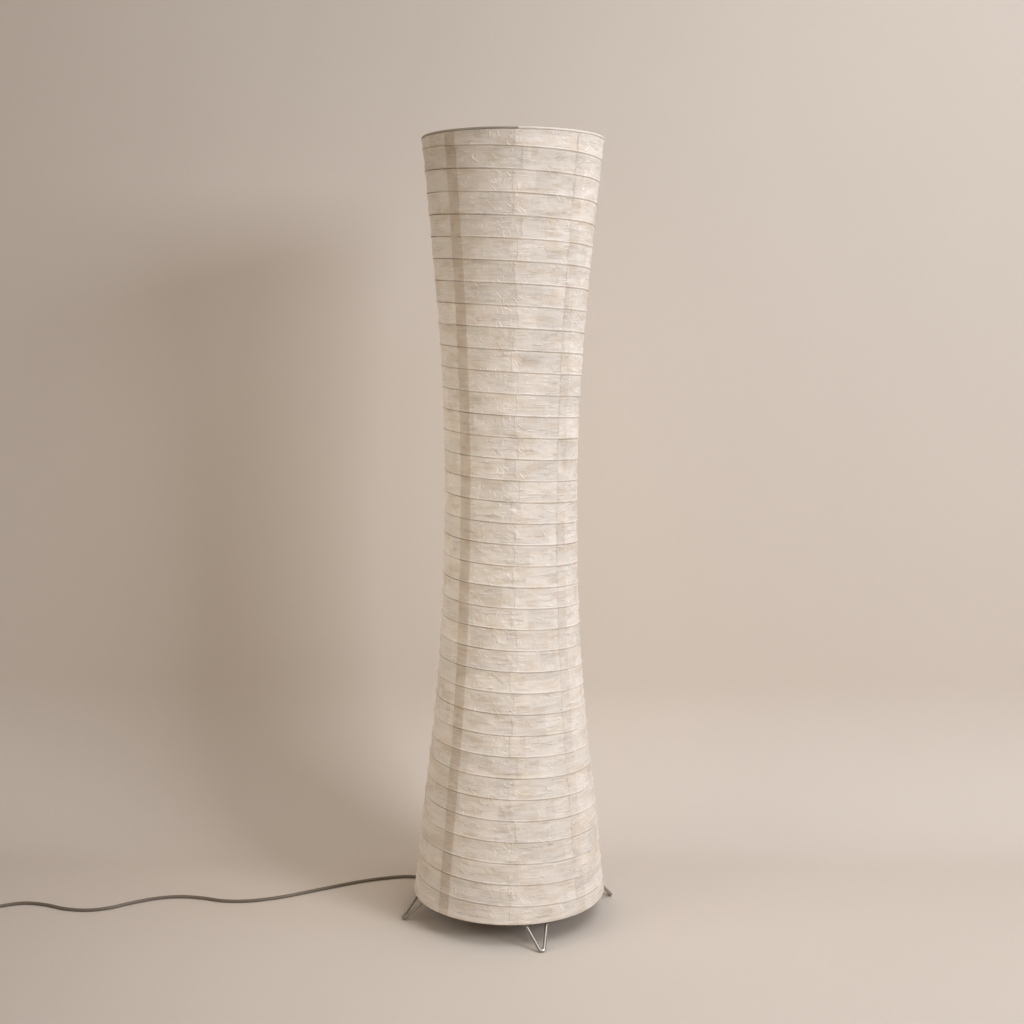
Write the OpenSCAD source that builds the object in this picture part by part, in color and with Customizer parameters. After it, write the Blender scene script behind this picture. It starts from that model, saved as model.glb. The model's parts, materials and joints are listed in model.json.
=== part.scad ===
// Paper lantern floor lamp: a waisted paper shade on a spiral rib wire, hung
// over a welded wire frame with four splayed wire feet.
// Millimetres, +Z up, origin on the floor under the middle of the lamp.
// Azimuths are counted from the front (-Y) towards the right (+X).

/* [Shade] */
// Height of the top hoop's upper edge above the floor
total_h = 1165; // [1050:5:1300]
// Height of the shade's lower edge above the floor
rim_z = 34; // [30:1:42]
// Outer diameter at the top
top_d = 265; // [250:1:280]
// Outer diameter at the shoulder
shoulder_d = 219; // [212:1:228]
// Height of the shoulder
shoulder_z = 920; // [890:5:960]
// Outer diameter at the waist
waist_d = 198; // [190:1:206]
// Height of the waist
waist_z = 660; // [620:5:700]
// Outer diameter at the hip
hip_d = 247; // [238:1:256]
// Height of the hip
hip_z = 240; // [210:5:270]
// Outer diameter at the lower edge
bottom_d = 292; // [284:1:304]
// Lean of the side at the top, degrees from upright
top_lean = 6; // [4:0.5:8]
// Lean of the side at the shoulder
shoulder_lean = 4.6; // [3:0.2:6]
// Lean of the side at the hip
hip_lean = 7.1; // [5:0.1:9]
// Lean of the side at the lower edge
bottom_lean = 5.6; // [3:0.2:8]
// Thickness of the paper, with its glue
paper_t = 0.5; // [0.3:0.1:0.8]

/* [Rib wire and seams] */
// Diameter of the spiral rib wire with the paper wrapped on it
rib_d = 2; // [1.6:0.1:2.6]
// Rise of the spiral for each turn
rib_pitch = 30.8; // [28:0.2:34]
// Height of the first rib where it crosses the front
rib_first_z = 1140; // [1130:1:1145]
// Width of the tape over each paper seam
tape_w = 19.5; // [15:0.5:24]
// Thickness of the seam tape
tape_t = 0.3; // [0.2:0.1:0.5]
// Azimuth of the first seam
seam_az = -42; // [-45:1:-38]
// Diameter of the hoop wire at the top
top_hoop_d = 3.2; // [2.6:0.1:4]
// Diameter of the hoop wire at the bottom
bottom_hoop_d = 3; // [2.6:0.1:4]
// Height of the hem strips
hem_h = 11; // [8:0.5:16]

/* [Frame] */
// Diameter of the frame and foot wire
wire_d = 5; // [4:0.25:6]
// How far the foot tips stand out past the shade's lower edge
foot_out = 22; // [16:1:30]
// Spread of a foot's two arms where they meet the base ring
foot_spread = 45; // [36:1:54]
// Radius of the bend at a foot's tip
foot_bend_r = 4; // [3.5:0.25:6]
// Azimuth of the front foot
foot_az = 16.6; // [0:0.1:30]
// Height of the base ring above the shade's lower edge
base_rise = 13; // [11:1:18]
// Diameter of the upright rods
rod_d = 5; // [4:0.25:6]
// Clear space between the uprights' centres and the waist
upright_clear = 15; // [12:0.5:18]
// Height at which the two lengths of an upright meet
joint_z = 615; // [540:5:680]
// Length of the joining sleeves
sleeve_l = 60; // [40:2:80]
// Wall of the sockets and sleeves
socket_wall = 1.8; // [1.2:0.1:2.4]
// Depth of the sockets on the spokes
socket_l = 32; // [20:1:40]
// Depth of the sockets under the top cross
top_socket_l = 22; // [15:1:30]

/* [Lampholder] */
// Height of the plate that carries the lampholder
plate_z = 84; // [80:1:100]
// Diameter of the plate
plate_d = 56; // [50:1:70]
// Thickness of the plate
plate_t = 1.5; // [1:0.25:2.5]
// Diameter of the threaded nipple
nipple_d = 10; // [9.5:0.5:12]
// Outer diameter of the lampholder
holder_d = 40; // [38:0.5:44]
// Wall of the lampholder's mouldings
holder_wall = 2; // [1.6:0.1:2.4]
// Height of the lampholder's cap
holder_cap_h = 22.5; // [20:0.5:28]
// Height of the lampholder's shell
holder_shell_h = 40; // [36:0.5:46]
// Outer diameter of the clamp ring
clamp_d = 50; // [47:0.5:58]
// Height of the clamp ring
clamp_h = 9; // [7:0.5:12]

/* [Bulb] */
// Diameter of the bulb's glass
bulb_d = 60; // [55:1:66]
// Length of the bulb with its cap
bulb_l = 100; // [98:1:112]
// Diameter of the bulb's screw cap
bulb_cap_d = 26; // [25.6:0.1:26.4]

/* [Power cord] */
// Diameter of the cord
cord_d = 5; // [4.5:0.25:5.5]
// Turns in the put-away coil
coil_turns = 4.5; // [3.5:1:5.5]
// Radius of the coil's outermost turn
coil_r = 36; // [34:1:40]
// Length of the foot switch
switch_l = 72; // [64:1:84]
// Width of the foot switch
switch_w = 44; // [38:1:48]
// Height of the foot switch without its button
switch_h = 22; // [20:0.5:26]
// Wall of the foot switch
switch_wall = 2; // [1.5:0.25:2.5]
// Diameter of the foot button
button_d = 25; // [20:1:28]
// Travel of the foot button
button_travel = 3; // [2:0.5:4]
// Length of each tapered strain relief on the switch
relief_l = 20; // [20:1:30]
// Width of the plug's body
plug_w = 35; // [32:1:38]
// Thickness of the plug's body
plug_t = 13.7; // [12:0.1:16]
// Length of the plug's body without its tapered end
plug_l = 36; // [30:1:42]
// Diameter of the plug's pins
pin_d = 4; // [4:0.2:4.8]
// Length of the plug's pins
pin_l = 19; // [17:1:20]
// Distance between the pins
pin_gap = 18.6; // [17:0.1:19]

/* [Hidden] */

// Clearances: seat between pieces that rest on each other, slip in a socket,
// and the bite of a weld between two wires
seat = 0.3;
slip = 0.1;
bite = 0.5;

steel = "Silver";
paper = "OldLace";
moulding = "WhiteSmoke";
brass = "Goldenrod";
cord_grey = "Gray";

// Side of the shade: stations of height, radius and slope, joined by cubics
stations = [
    [rim_z, bottom_d / 2, -tan(bottom_lean)],
    [hip_z, hip_d / 2, -tan(hip_lean)],
    [waist_z, waist_d / 2, 0],
    [shoulder_z, shoulder_d / 2, tan(shoulder_lean)],
    [total_h, top_d / 2, tan(top_lean)]
];
function cubic(a, b, z) =
    let (h = b[0] - a[0], t = (z - a[0]) / h)
    (2 * t^3 - 3 * t^2 + 1) * a[1] + (t^3 - 2 * t^2 + t) * h * a[2]
    + (3 * t^2 - 2 * t^3) * b[1] + (t^3 - t^2) * h * b[2];
function band(z) = z < hip_z ? 0 : z < waist_z ? 1 : z < shoulder_z ? 2 : 3;
function side_r(z) = cubic(stations[band(z)], stations[band(z) + 1], z);

// Paper between its lower and upper edge
lip_t = 0.4;
lip_w = 3;
gore_z0 = rim_z + lip_t + seat;
gore_z1 = total_h - top_hoop_d - seat;
side_steps = 32;
side_table = [for (i = [0 : side_steps]) let (z = rim_z + (total_h - rim_z) * i / side_steps)
    [z, side_r(z)]];
edge_trim = 0.1;

// Hoops
top_hoop_r = (top_d - top_hoop_d) / 2;
top_hoop_z = total_h - top_hoop_d / 2;
bottom_hoop_z = rim_z + lip_t + 0.1 + bottom_hoop_d / 2;
bottom_hoop_r = side_r(bottom_hoop_z) - lip_t - 2 * seat - paper_t - bottom_hoop_d / 2;

// Feet: the arms pass just under the bottom hoop, which rests on them
tip = [bottom_d / 2 + foot_out, wire_d / 2];
arm_offset = 16;
hoop_seat = [sqrt(bottom_hoop_r^2 - arm_offset^2), bottom_hoop_z];
to_hoop = hoop_seat - tip;
arm_angle = atan2(to_hoop[1], to_hoop[0])
    + asin(((wire_d + bottom_hoop_d) / 2 + seat + lip_t) / norm(to_hoop));
arm_dir = [cos(arm_angle), sin(arm_angle)];
base_ring_z = rim_z + base_rise;
arm_reach = (base_ring_z - tip[1]) / arm_dir[1];
ring_x = tip[0] + arm_dir[0] * arm_reach;
base_ring_r = sqrt(ring_x^2 + (foot_spread / 2)^2);
arm_l = arm_reach - wire_d / 2 + bite;

// Uprights
upright_r = waist_d / 2 - upright_clear;
socket_d = rod_d + 2 * slip + 2 * socket_wall;
bar_z = gore_z1 - wire_d / 2;
hook_d = 3.5;
hook_r = top_hoop_r - top_hoop_d / 2 - seat - hook_d / 2;
bar_r = top_hoop_r - 1.2;

// Spokes run from the base ring up to the underside of the plate
spoke_top_z = plate_z - wire_d / 2 + 0.2;
spoke_bend_x = plate_d / 2 - 3;
spoke_end_x = nipple_d + 2;
spoke_slope = (spoke_top_z - base_ring_z) / (base_ring_r - spoke_bend_x);
function spoke_z(x) = spoke_top_z - (x - spoke_bend_x) * spoke_slope;
socket_z0 = spoke_z(upright_r) + wire_d / 2 - bite;
socket_floor = 4;

// Lampholder stack
plate_top = plate_z + plate_t;
nut_h = 4;
nipple_z0 = plate_z - 9;
nipple_z1 = plate_top + 8;
nipple_wall = 1.5;
relief_z0 = nipple_z0 - 29;
flange_t = 1.5;
insert_z0 = plate_top + holder_cap_h;
shell_z0 = insert_z0 + flange_t;
shell_z1 = shell_z0 + holder_shell_h;
insert_h = 9;
terminal_x = 10;
terminal_hole_r = 1.6;
insert_top = insert_z0 + insert_h;
shoulder_h = 12.5;
thread_r = holder_d / 2 - 0.9;
contact_h = 3.7;
bulb_z0 = insert_top + contact_h + seat;
button_t = 1.3;
glass_rise = 4.2;
cap_z0 = bulb_z0 + button_t + glass_rise;
cap_h = 22;
thread_step = 3.6;
spring_t = 0.6;
spring_w = 4;
spring_l = 8;
glass_neck_r = bulb_cap_d / 2 - 0.8;
globe_z = bulb_z0 + bulb_l - bulb_d / 2;
screw_r = bulb_cap_d / 2 + 0.35;

// Cord on the floor. The route runs from the tapered relief under the
// lampholder to the foot switch, all points chosen by hand.
cord_r = cord_d / 2;
route = [
    [0, 0, 46], [0, 0, 38], [0, 0, 30], [-3, 2, 17], [-11, 8, 7],
    [-24, 18, 3], [-50, 38, 2.5], [-78, 61, 2.5], [-105, 85, 2.5],
    [-132, 106, 2.5], [-164, 116, 2.5], [-204, 108, 2.5], [-247, 91, 2.5],
    [-298, 63, 2.5], [-349, 34, 2.5], [-380, 21, 2.5], [-410, 13, 2.5],
    [-446, 13, 2.5], [-482, 24, 2.5], [-517, 29, 2.5], [-553, 22, 2.5],
    [-589, 3, 2.5], [-617, -16, 2.5], [-648, -25, 2.5], [-684, -20, 2.5],
    [-719, -5, 2.5], [-754, 1, 2.5], [-787, -11, 2.5], [-812, -29, 3],
    [-826, -50, 4.5], [-830, -70, 6], [-830, -84, 6]
];
switch_x = -830;
switch_y1 = -104;
switch_cord_z = 6;
switch_y0 = switch_y1 - switch_l;
relief_y0 = switch_y0 - relief_l;

// Coil beside the switch: two layers, wound inwards and out again
tie_t = 1;
tie_w = 8;
layer_step = cord_d + 0.6;
coil_z = cord_r + seat + tie_t;
lead_l = 40;
coil_c = [switch_x - coil_r, relief_y0 - lead_l];
coil_steps = 24;
coil_sides = 6;
half_turns = coil_turns / 2;
function coil_radius(t) = coil_r - (half_turns - abs(t - half_turns)) * layer_step;
function ease(s) = s <= 0 ? 0 : s >= 1 ? 1 : s * s * (3 - 2 * s);
function coil_height(t) = coil_z + layer_step * ease((t - half_turns + 0.25) / 0.5);
function coil_point(t) = [
    coil_c[0] + coil_radius(t) * cos(-360 * t),
    coil_c[1] + coil_radius(t) * sin(-360 * t),
    coil_height(t)
];
coil_n = coil_turns * coil_steps;
coil_start = coil_point(0);
coil_end = coil_point(coil_turns);
coil_path = concat(
    [coil_start + [0, cord_d, 0]],
    [for (i = [0 : coil_n]) coil_point(i / coil_steps)],
    [coil_end + [0, cord_d, 0]]
);
plug_x = coil_c[0] - coil_r;
plug_axis_z = plug_t / 2;
plug_relief_l = 22;
plug_y0 = coil_c[1] + lead_l;
plug_y1 = plug_y0 + plug_relief_l;
plug_y2 = plug_y1 + plug_l;

// Swept tubes
function unit(v) = v / norm(v);
function blend(p, t) =
    0.5 * (2 * p[1] + (p[2] - p[0]) * t
    + (2 * p[0] - 5 * p[1] + 4 * p[2] - p[3]) * t^2
    + (3 * p[1] - p[0] - 3 * p[2] + p[3]) * t^3);
function smooth(pts, steps) = let (n = len(pts) - 1) concat(
    [for (i = [0 : n - 1]) let (
        p = [i == 0 ? 2 * pts[0] - pts[1] : pts[i - 1], pts[i], pts[i + 1],
            i == n - 1 ? 2 * pts[n] - pts[n - 1] : pts[i + 2]])
        for (k = [0 : steps - 1]) blend(p, k / steps)],
    [pts[n]]);
function heading(pts, i) =
    unit(pts[min(i + 1, len(pts) - 1)] - pts[max(i - 1, 0)]);
tiny_side = [0.0006, 0.0008, 0];
function tube_ring(p, dir, r, sides) =
    let (side = unit(cross(dir, [0, 0, 1]) + tiny_side), top = cross(side, dir))
    [for (j = [0 : sides - 1]) let (a = 360 * (j + 0.5) / sides)
        p + r * (cos(a) * side + sin(a) * top)];
module tube(pts, r, sides) {
    n = len(pts);
    points = [for (i = [0 : n - 1]) each tube_ring(pts[i], heading(pts, i), r, sides)];
    skin = [for (i = [0 : n - 2]) for (j = [0 : sides - 1]) let (
        a = i * sides + j, b = i * sides + (j + 1) % sides)
        each [[a, b + sides, a + sides], [a, b, b + sides]]];
    near_end = [for (j = [1 : sides - 2]) [0, j + 1, j]];
    last = (n - 1) * sides;
    far_end = [for (j = [1 : sides - 2]) [last, last + j, last + j + 1]];
    polyhedron(points, concat(skin, near_end, far_end), convexity = 10);
}

// Helpers
fine = 96;
module at_azimuth(a) rotate([0, 0, a - 90]) children();
module rod(a, b, d) {
    v = b - a;
    translate(a) rotate([0, acos(v[2] / norm(v)), atan2(v[1], v[0])])
        cylinder(h = norm(v), d = d, $fn = 48);
}
module bead(p, d) translate(p) sphere(d = d + 0.12, $fn = 48);
module hoop(r, z, d) translate([0, 0, z])
    rotate_extrude($fn = 180) translate([r, 0]) circle(d = d, $fn = 40);
module ring(z0, z1, r0, r1) translate([0, 0, z0]) difference() {
    cylinder(h = z1 - z0, r = r1, $fn = fine);
    translate([0, 0, -1]) cylinder(h = z1 - z0 + 2, r = r0, $fn = fine);
}
// Skin of the shade between two offsets inside its outer surface. All skins
// bend at the same heights, so they stay parallel to each other.
module side_skin(z0, z1, out, in, angle = 360) {
    side = concat(
        [[lookup(z0, side_table), z0]],
        [for (row = side_table) if (row[0] > z0 && row[0] < z1) [row[1], row[0]]],
        [[lookup(z1, side_table), z1]]);
    rotate_extrude(angle = angle, $fn = 240) polygon(concat(
        [for (p = side) [p[0] - out, p[1]]],
        [for (i = [len(side) - 1 : -1 : 0]) [side[i][0] - in, side[i][1]]]));
}

// Base frame
module base_ring() color(steel) hoop(base_ring_r, base_ring_z, wire_d);

// One V foot: two arms and the bend between them, drawn flat and tipped up
module foot(i) {
    half = foot_spread / 2;
    mid = arm_l - foot_bend_r;
    reach = norm([mid, half]);
    turn = atan2(half, mid) + acos(foot_bend_r / reach);
    gap = 1.5;
    color(steel) at_azimuth(foot_az + 90 * i)
        translate([tip[0], 0, tip[1]]) rotate([0, -arm_angle, 0])
        translate([foot_bend_r, 0, 0]) {
            rotate([0, 0, turn + gap]) rotate_extrude(angle = 360 - 2 * turn - 2 * gap, $fn = fine)
                translate([foot_bend_r, 0]) circle(d = wire_d, $fn = 40);
            for (s = [-1, 1]) {
                bend = [foot_bend_r * cos(turn), s * foot_bend_r * sin(turn), 0];
                end = [mid, s * half, 0];
                rod(bend + 0.1 * unit(end - bend), end, wire_d);
                bead(bend, wire_d);
            }
        }
}

module spoke(i) {
    start = [base_ring_r, 0, base_ring_z];
    bend = [spoke_bend_x, 0, spoke_top_z];
    end = [spoke_end_x, 0, spoke_top_z];
    color(steel) at_azimuth(foot_az + 90 * i) {
        rod(start + (wire_d / 2 - bite) * unit(bend - start), bend, wire_d);
        bead(bend, wire_d);
        rod(bend, end, wire_d);
    }
}

module holder_plate() color(steel)
    ring(plate_z, plate_top, nipple_d / 2 + 0.15, plate_d / 2);

// Uprights: side 1 is the right one, side 3 the left one
module at_upright(side) at_azimuth(foot_az + 90 * side)
    translate([upright_r, 0, 0]) children();
module upright_socket(side) color(steel) at_upright(side) difference() {
    translate([0, 0, socket_z0])
        cylinder(h = socket_floor + socket_l, d = socket_d, $fn = fine);
    translate([0, 0, socket_z0 + socket_floor])
        cylinder(h = socket_l + 1, d = rod_d + 2 * slip, $fn = fine);
}
module upright_lower(side) color(steel) at_upright(side)
    translate([0, 0, socket_z0 + socket_floor + seat])
    cylinder(h = joint_z - socket_z0 - socket_floor - 1.5 * seat, d = rod_d, $fn = fine);
module upright_upper(side) color(steel) at_upright(side)
    translate([0, 0, joint_z + seat / 2])
    cylinder(h = bar_z - wire_d / 2 - 1.5 * seat - joint_z, d = rod_d, $fn = fine);
module sleeve(side) color(steel) at_upright(side) translate([0, 0, joint_z - sleeve_l / 2])
    difference() {
        cylinder(h = sleeve_l, d = socket_d, $fn = fine);
        translate([0, 0, -1]) cylinder(h = sleeve_l + 2, d = rod_d + 2 * slip, $fn = fine);
    }

// Top cross: two welded bars, four hooks inside the hoop, two sockets
module top_cross() color(steel) difference() {
    union() {
        for (i = [0 : 1]) at_azimuth(foot_az + 90 * i)
            rod([-bar_r, 0, bar_z], [bar_r, 0, bar_z], wire_d);
        for (i = [0 : 3]) at_azimuth(foot_az + 90 * i)
            rod([hook_r, 0, bar_z], [hook_r, 0, total_h - 0.5], hook_d);
        for (side = [1, 3]) at_upright(side)
            translate([0, 0, bar_z - wire_d / 2 - top_socket_l])
            cylinder(h = top_socket_l + 1, d = socket_d, $fn = fine);
    }
    for (side = [1, 3]) at_upright(side)
        translate([0, 0, bar_z - wire_d / 2 - top_socket_l - 1])
        cylinder(h = top_socket_l + 1, d = rod_d + 2 * slip, $fn = fine);
}

// Shade
module top_hoop() color(steel) hoop(top_hoop_r, top_hoop_z, top_hoop_d);
module bottom_hoop() color(steel) hoop(bottom_hoop_r, bottom_hoop_z, bottom_hoop_d);
module gore(i) color(paper) at_azimuth(seam_az + 90 * i + edge_trim)
    side_skin(gore_z0, gore_z1, 0, paper_t, 90 - 2 * edge_trim);
module seam_tape(i) color("Tan") intersection() {
    side_skin(gore_z0 + hem_h, gore_z1 - hem_h - 1, paper_t + slip,
        paper_t + slip + tape_t);
    at_azimuth(seam_az + 90 * i) translate([0, -tape_w / 2, 0])
        cube([bottom_d, tape_w, total_h]);
}

// Spiral rib wire: one unbroken helix inside the paper, flat at both ends. Its
// straight steps lie as far outside the true curve as inside it.
rib_top_z = gore_z1 - 2;
rib_low_z = rim_z + hem_h + 2.5;
rib_steps = 20;
rib_sides = 6;
rib_flat_end = 0.25;
rib_swell = (1 + 1 / cos(180 / rib_steps)) / 2;
// Turns are counted from +X, so the front is a quarter turn back
function rib_turn(z) = (rib_first_z - z) / rib_pitch - 0.25;
function rib_z(turn) =
    max(rib_low_z, min(rib_top_z, rib_first_z - (turn + 0.25) * rib_pitch));
rib_start = ceil((rib_turn(rib_top_z) - rib_flat_end) * rib_steps);
rib_end = floor((rib_turn(rib_low_z) + rib_flat_end) * rib_steps);
rib_path = [for (i = [rib_start : rib_end]) let (
    turn = i / rib_steps, z = rib_z(turn), r = (side_r(z) - paper_t / 2) * rib_swell)
    [r * cos(360 * turn), r * sin(360 * turn), z]];
module rib_wire() color("DarkKhaki") tube(rib_path, rib_d / 2, rib_sides);

// Hem strips: the top one lies inside the paper, the bottom one outside it
// with a lip turned in under the paper's edge
module top_hem() color(paper)
    side_skin(gore_z1 - hem_h, gore_z1 - slip, paper_t + slip, paper_t + slip + tape_t);
module bottom_hem() color(paper) {
    side_skin(rim_z, rim_z + hem_h, -lip_t - seat, -seat);
    ring(rim_z, rim_z + lip_t, side_r(rim_z) - lip_w, side_r(rim_z) + seat + slip);
}

// Lampholder
module nipple() color(brass)
    ring(nipple_z0, nipple_z1, nipple_d / 2 - nipple_wall, nipple_d / 2);
module nipple_nut() color(brass) translate([0, 0, plate_z - nut_h]) difference() {
    cylinder(h = nut_h, r = nipple_d * 0.8, $fn = 6);
    translate([0, 0, -1]) cylinder(h = nut_h + 2, r = nipple_d / 2 + slip, $fn = fine);
}
module holder_cap() {
    r = holder_d / 2;
    h = holder_cap_h;
    w = holder_wall;
    foot_r = r - 6;
    color(moulding) translate([0, 0, plate_top]) rotate_extrude($fn = fine) polygon([
        [nipple_d / 2 + slip, 0], [foot_r, 0], [r, h / 2], [r, h], [r - w, h],
        [r - w, h / 2 + 0.5], [foot_r - w, w], [nipple_d / 2 + slip, w]
    ]);
}
module holder_shell() color(moulding) {
    ring(shell_z0, shell_z0 + shoulder_h, holder_d / 2 - holder_wall - 0.5, holder_d / 2);
    ring(shell_z0 + shoulder_h, shell_z1, holder_d / 2 - holder_wall - 0.5, thread_r - 0.4);
    thread_pitch = 3;
    for (z = [shell_z0 + shoulder_h + 1 : thread_pitch : shell_z1 - thread_pitch])
        ring(z, z + thread_pitch / 2, thread_r - 1, thread_r);
}
module holder_insert() color("White") difference() {
    union() {
        translate([0, 0, insert_z0])
            cylinder(h = flange_t, r = holder_d / 2 - 0.6, $fn = fine);
        translate([0, 0, insert_z0])
            cylinder(h = insert_h, r = holder_d / 2 - holder_wall - 0.8, $fn = fine);
    }
    translate([0, 0, insert_z0 - 1]) cylinder(h = insert_h / 2 + 1, r = 5, $fn = fine);
    for (s = [-1, 1]) translate([s * terminal_x, 0, insert_z0 - 1])
        cylinder(h = 6, r = terminal_hole_r, $fn = 32);
}
module terminal_screws() color(brass) for (s = [-1, 1]) translate([s * terminal_x, 0, 0]) {
    translate([0, 0, insert_z0 - 2]) cylinder(h = 2, r = terminal_hole_r + 1, $fn = 32);
    translate([0, 0, insert_z0 - 0.5]) cylinder(h = 5, r = terminal_hole_r - slip, $fn = 32);
}
module screw_shell() color(brass) {
    ring(insert_top, insert_top + 0.5, screw_r - 3, screw_r + 0.4);
    ring(insert_top, insert_top + 24, screw_r, screw_r + 0.4);
}
module centre_contact() color(brass) translate([0, 0, insert_top]) {
    translate([-spring_l / 2, -spring_w / 2, 0]) cube([spring_l, spring_w, spring_t]);
    translate([spring_l / 2 - 1.5, -spring_w / 2, 0]) cube([spring_t, spring_w, contact_h]);
    translate([-spring_l / 2, -spring_w / 2, contact_h - spring_t])
        cube([spring_l - 1, spring_w, spring_t]);
}
module clamp_ring() color(moulding) {
    z0 = shell_z0 + shoulder_h + seat;
    ring(z0, z0 + clamp_h, thread_r + seat, clamp_d / 2 - 2);
    ring(z0, z0 + 2, thread_r + seat, clamp_d / 2);
}

// Bulb
module bulb_contact() color(brass) translate([0, 0, bulb_z0])
    cylinder(h = button_t, r1 = 3.6, r2 = 4.6, $fn = fine);
module bulb_insulator() color("DimGray") translate([0, 0, bulb_z0 + button_t])
    cylinder(h = glass_rise, r1 = 5, r2 = bulb_cap_d / 2 - 1, $fn = fine);
module bulb_cap() color(steel) {
    r = bulb_cap_d / 2;
    ring(cap_z0, cap_z0 + cap_h, r - 0.6, r - 0.3);
    for (k = [0 : 3]) translate([0, 0, cap_z0 + 3 + k * thread_step])
        ring(0, thread_step / 2, r - 0.5, r);
}
module bulb_glass() {
    neck_z0 = cap_z0 + 10;
    flare_z = globe_z - bulb_d * 0.36;
    flare_r = sqrt((bulb_d / 2)^2 - (bulb_d * 0.36)^2);
    wall = 1;
    color("Ivory") difference() {
        union() {
            translate([0, 0, globe_z]) sphere(d = bulb_d, $fn = fine);
            translate([0, 0, neck_z0])
                cylinder(h = cap_z0 + cap_h + 1 - neck_z0, r = glass_neck_r, $fn = fine);
            translate([0, 0, cap_z0 + cap_h + 1]) cylinder(
                h = flare_z - cap_z0 - cap_h - 1, r1 = glass_neck_r, r2 = flare_r, $fn = fine);
        }
        translate([0, 0, globe_z]) sphere(d = bulb_d - 2 * wall, $fn = fine);
        translate([0, 0, neck_z0 - 1]) cylinder(
            h = cap_z0 + cap_h + 2 - neck_z0, r = glass_neck_r - wall, $fn = fine);
        translate([0, 0, cap_z0 + cap_h + 0.9]) cylinder(
            h = flare_z - cap_z0 - cap_h - 0.9, r1 = glass_neck_r - wall,
            r2 = flare_r - wall, $fn = fine);
    }
}

// Cord and what is on it
module cord_relief() color(cord_grey) difference() {
    union() {
        translate([0, 0, relief_z0]) cylinder(h = nipple_z0 - 4 - relief_z0,
            r1 = cord_r + 1, r2 = nipple_d / 2 + 1, $fn = fine);
        translate([0, 0, nipple_z0 - 4]) cylinder(h = 8.4, r = nipple_d / 2 + 2, $fn = fine);
    }
    translate([0, 0, nipple_z0 - 0.2]) cylinder(h = 9, r = nipple_d / 2 + slip, $fn = fine);
    translate([0, 0, relief_z0 - 1]) cylinder(h = 40, r = cord_r + slip, $fn = fine);
}
module cord_tail() color(cord_grey) translate([0, 0, relief_z0])
    cylinder(h = nipple_z1 + 3 - relief_z0, r = cord_r, $fn = fine);
module power_cord() color(cord_grey) tube(smooth(route, 2), cord_r, 8);
// A short lead along Y between two heights, straight at both ends
lead_steps = 12;
function lead(x, y0, z0, y1, z1) = [for (k = [0 : lead_steps]) let (s = k / lead_steps)
    [x, y0 + (y1 - y0) * s, z0 + (z1 - z0) * ease((s - 0.2) / 0.6)]];
module switch_lead() color(cord_grey) tube(lead(switch_x, relief_y0, switch_cord_z,
    coil_start[1] + cord_d, coil_z), cord_r, coil_sides);
module cord_coil() color(cord_grey) tube(coil_path, cord_r, coil_sides);
module plug_lead() color(cord_grey) tube(lead(plug_x, coil_end[1] + cord_d, coil_end[2],
    plug_y0, plug_axis_z), cord_r, coil_sides);
module coil_tie() {
    r0 = coil_radius(half_turns) - cord_r - 0.6;
    r1 = coil_r + cord_r + 0.6;
    z1 = coil_z + layer_step + cord_r + seat;
    color("DimGray") translate([coil_c[0] - tie_w / 2, coil_c[1], 0]) difference() {
        translate([0, -r1 - tie_t, 0]) cube([tie_w, r1 - r0 + 2 * tie_t, z1 + tie_t]);
        translate([-1, -r1, tie_t]) cube([tie_w + 2, r1 - r0, z1 - tie_t]);
    }
}

// Foot switch, lying along Y
module round_plate(l, w, r) {
    square([w - 2 * r, l], center = true);
    square([w, l - 2 * r], center = true);
    for (x = [-1, 1]) for (y = [-1, 1])
        translate([x * (w / 2 - r), y * (l / 2 - r)]) circle(r = r, $fn = 48);
}
switch_corner = 14;
split_z = switch_h / 2;
post_r = 3.5;
screw_head_r = 2.7;
module at_switch() translate([switch_x, (switch_y0 + switch_y1) / 2, 0]) children();
module cord_ports() translate([0, 0, switch_cord_z]) rotate([90, 0, 0])
    cylinder(h = switch_l + 2, r = cord_r + 1.3, center = true, $fn = 48);
module switch_shell(z0, z1, floor_z0, floor_z1) difference() {
    translate([0, 0, z0]) linear_extrude(z1 - z0) round_plate(switch_l, switch_w, switch_corner);
    translate([0, 0, floor_z0]) linear_extrude(floor_z1 - floor_z0) round_plate(
        switch_l - 2 * switch_wall, switch_w - 2 * switch_wall, switch_corner - switch_wall);
    cord_ports();
}
screw_x = switch_w / 2 - 10;
screw_y = switch_l / 2 - 9;
screw_hole_r = 1.6;
module at_screws(z) for (y = [-1, 1]) for (x = [-1, 1])
    translate([x * screw_x, y * screw_y, z]) children();
module switch_base() color("DimGray") at_switch() difference() {
    union() {
        switch_shell(0, split_z, switch_wall, split_z + 1);
        at_screws(1) cylinder(h = split_z - 1, r = post_r, $fn = 32);
    }
    at_screws(-1) {
        cylinder(h = split_z + 2, r = screw_hole_r, $fn = 32);
        cylinder(h = 3.5, r = screw_head_r + 2 * slip, $fn = 32);
    }
}
module switch_cover() color("DimGray") at_switch() difference() {
    union() {
        switch_shell(split_z, switch_h, split_z - 1, switch_h - switch_wall);
        at_screws(split_z) cylinder(h = split_z - 1, r = post_r, $fn = 32);
    }
    translate([0, 0, switch_h - 2 * switch_wall])
        cylinder(h = 3 * switch_wall, r = button_d / 2 + seat, $fn = fine);
    at_screws(split_z - 1) cylinder(h = split_z - 3, r = screw_hole_r, $fn = 32);
}
module switch_screws() color(steel) at_switch() {
    at_screws(0.8) cylinder(h = 1.6, r = screw_head_r, $fn = 32);
    at_screws(2) cylinder(h = 12, r = screw_hole_r - slip, $fn = 32);
}
mech_h = 13;
mech_l = 22;
mech_w = 16;
module switch_mechanism() color("Black") at_switch()
    translate([-mech_w / 2, -mech_l / 2, switch_wall])
    cube([mech_w, mech_l, mech_h - switch_wall]);
button_z0 = mech_h + button_travel + seat;
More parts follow.
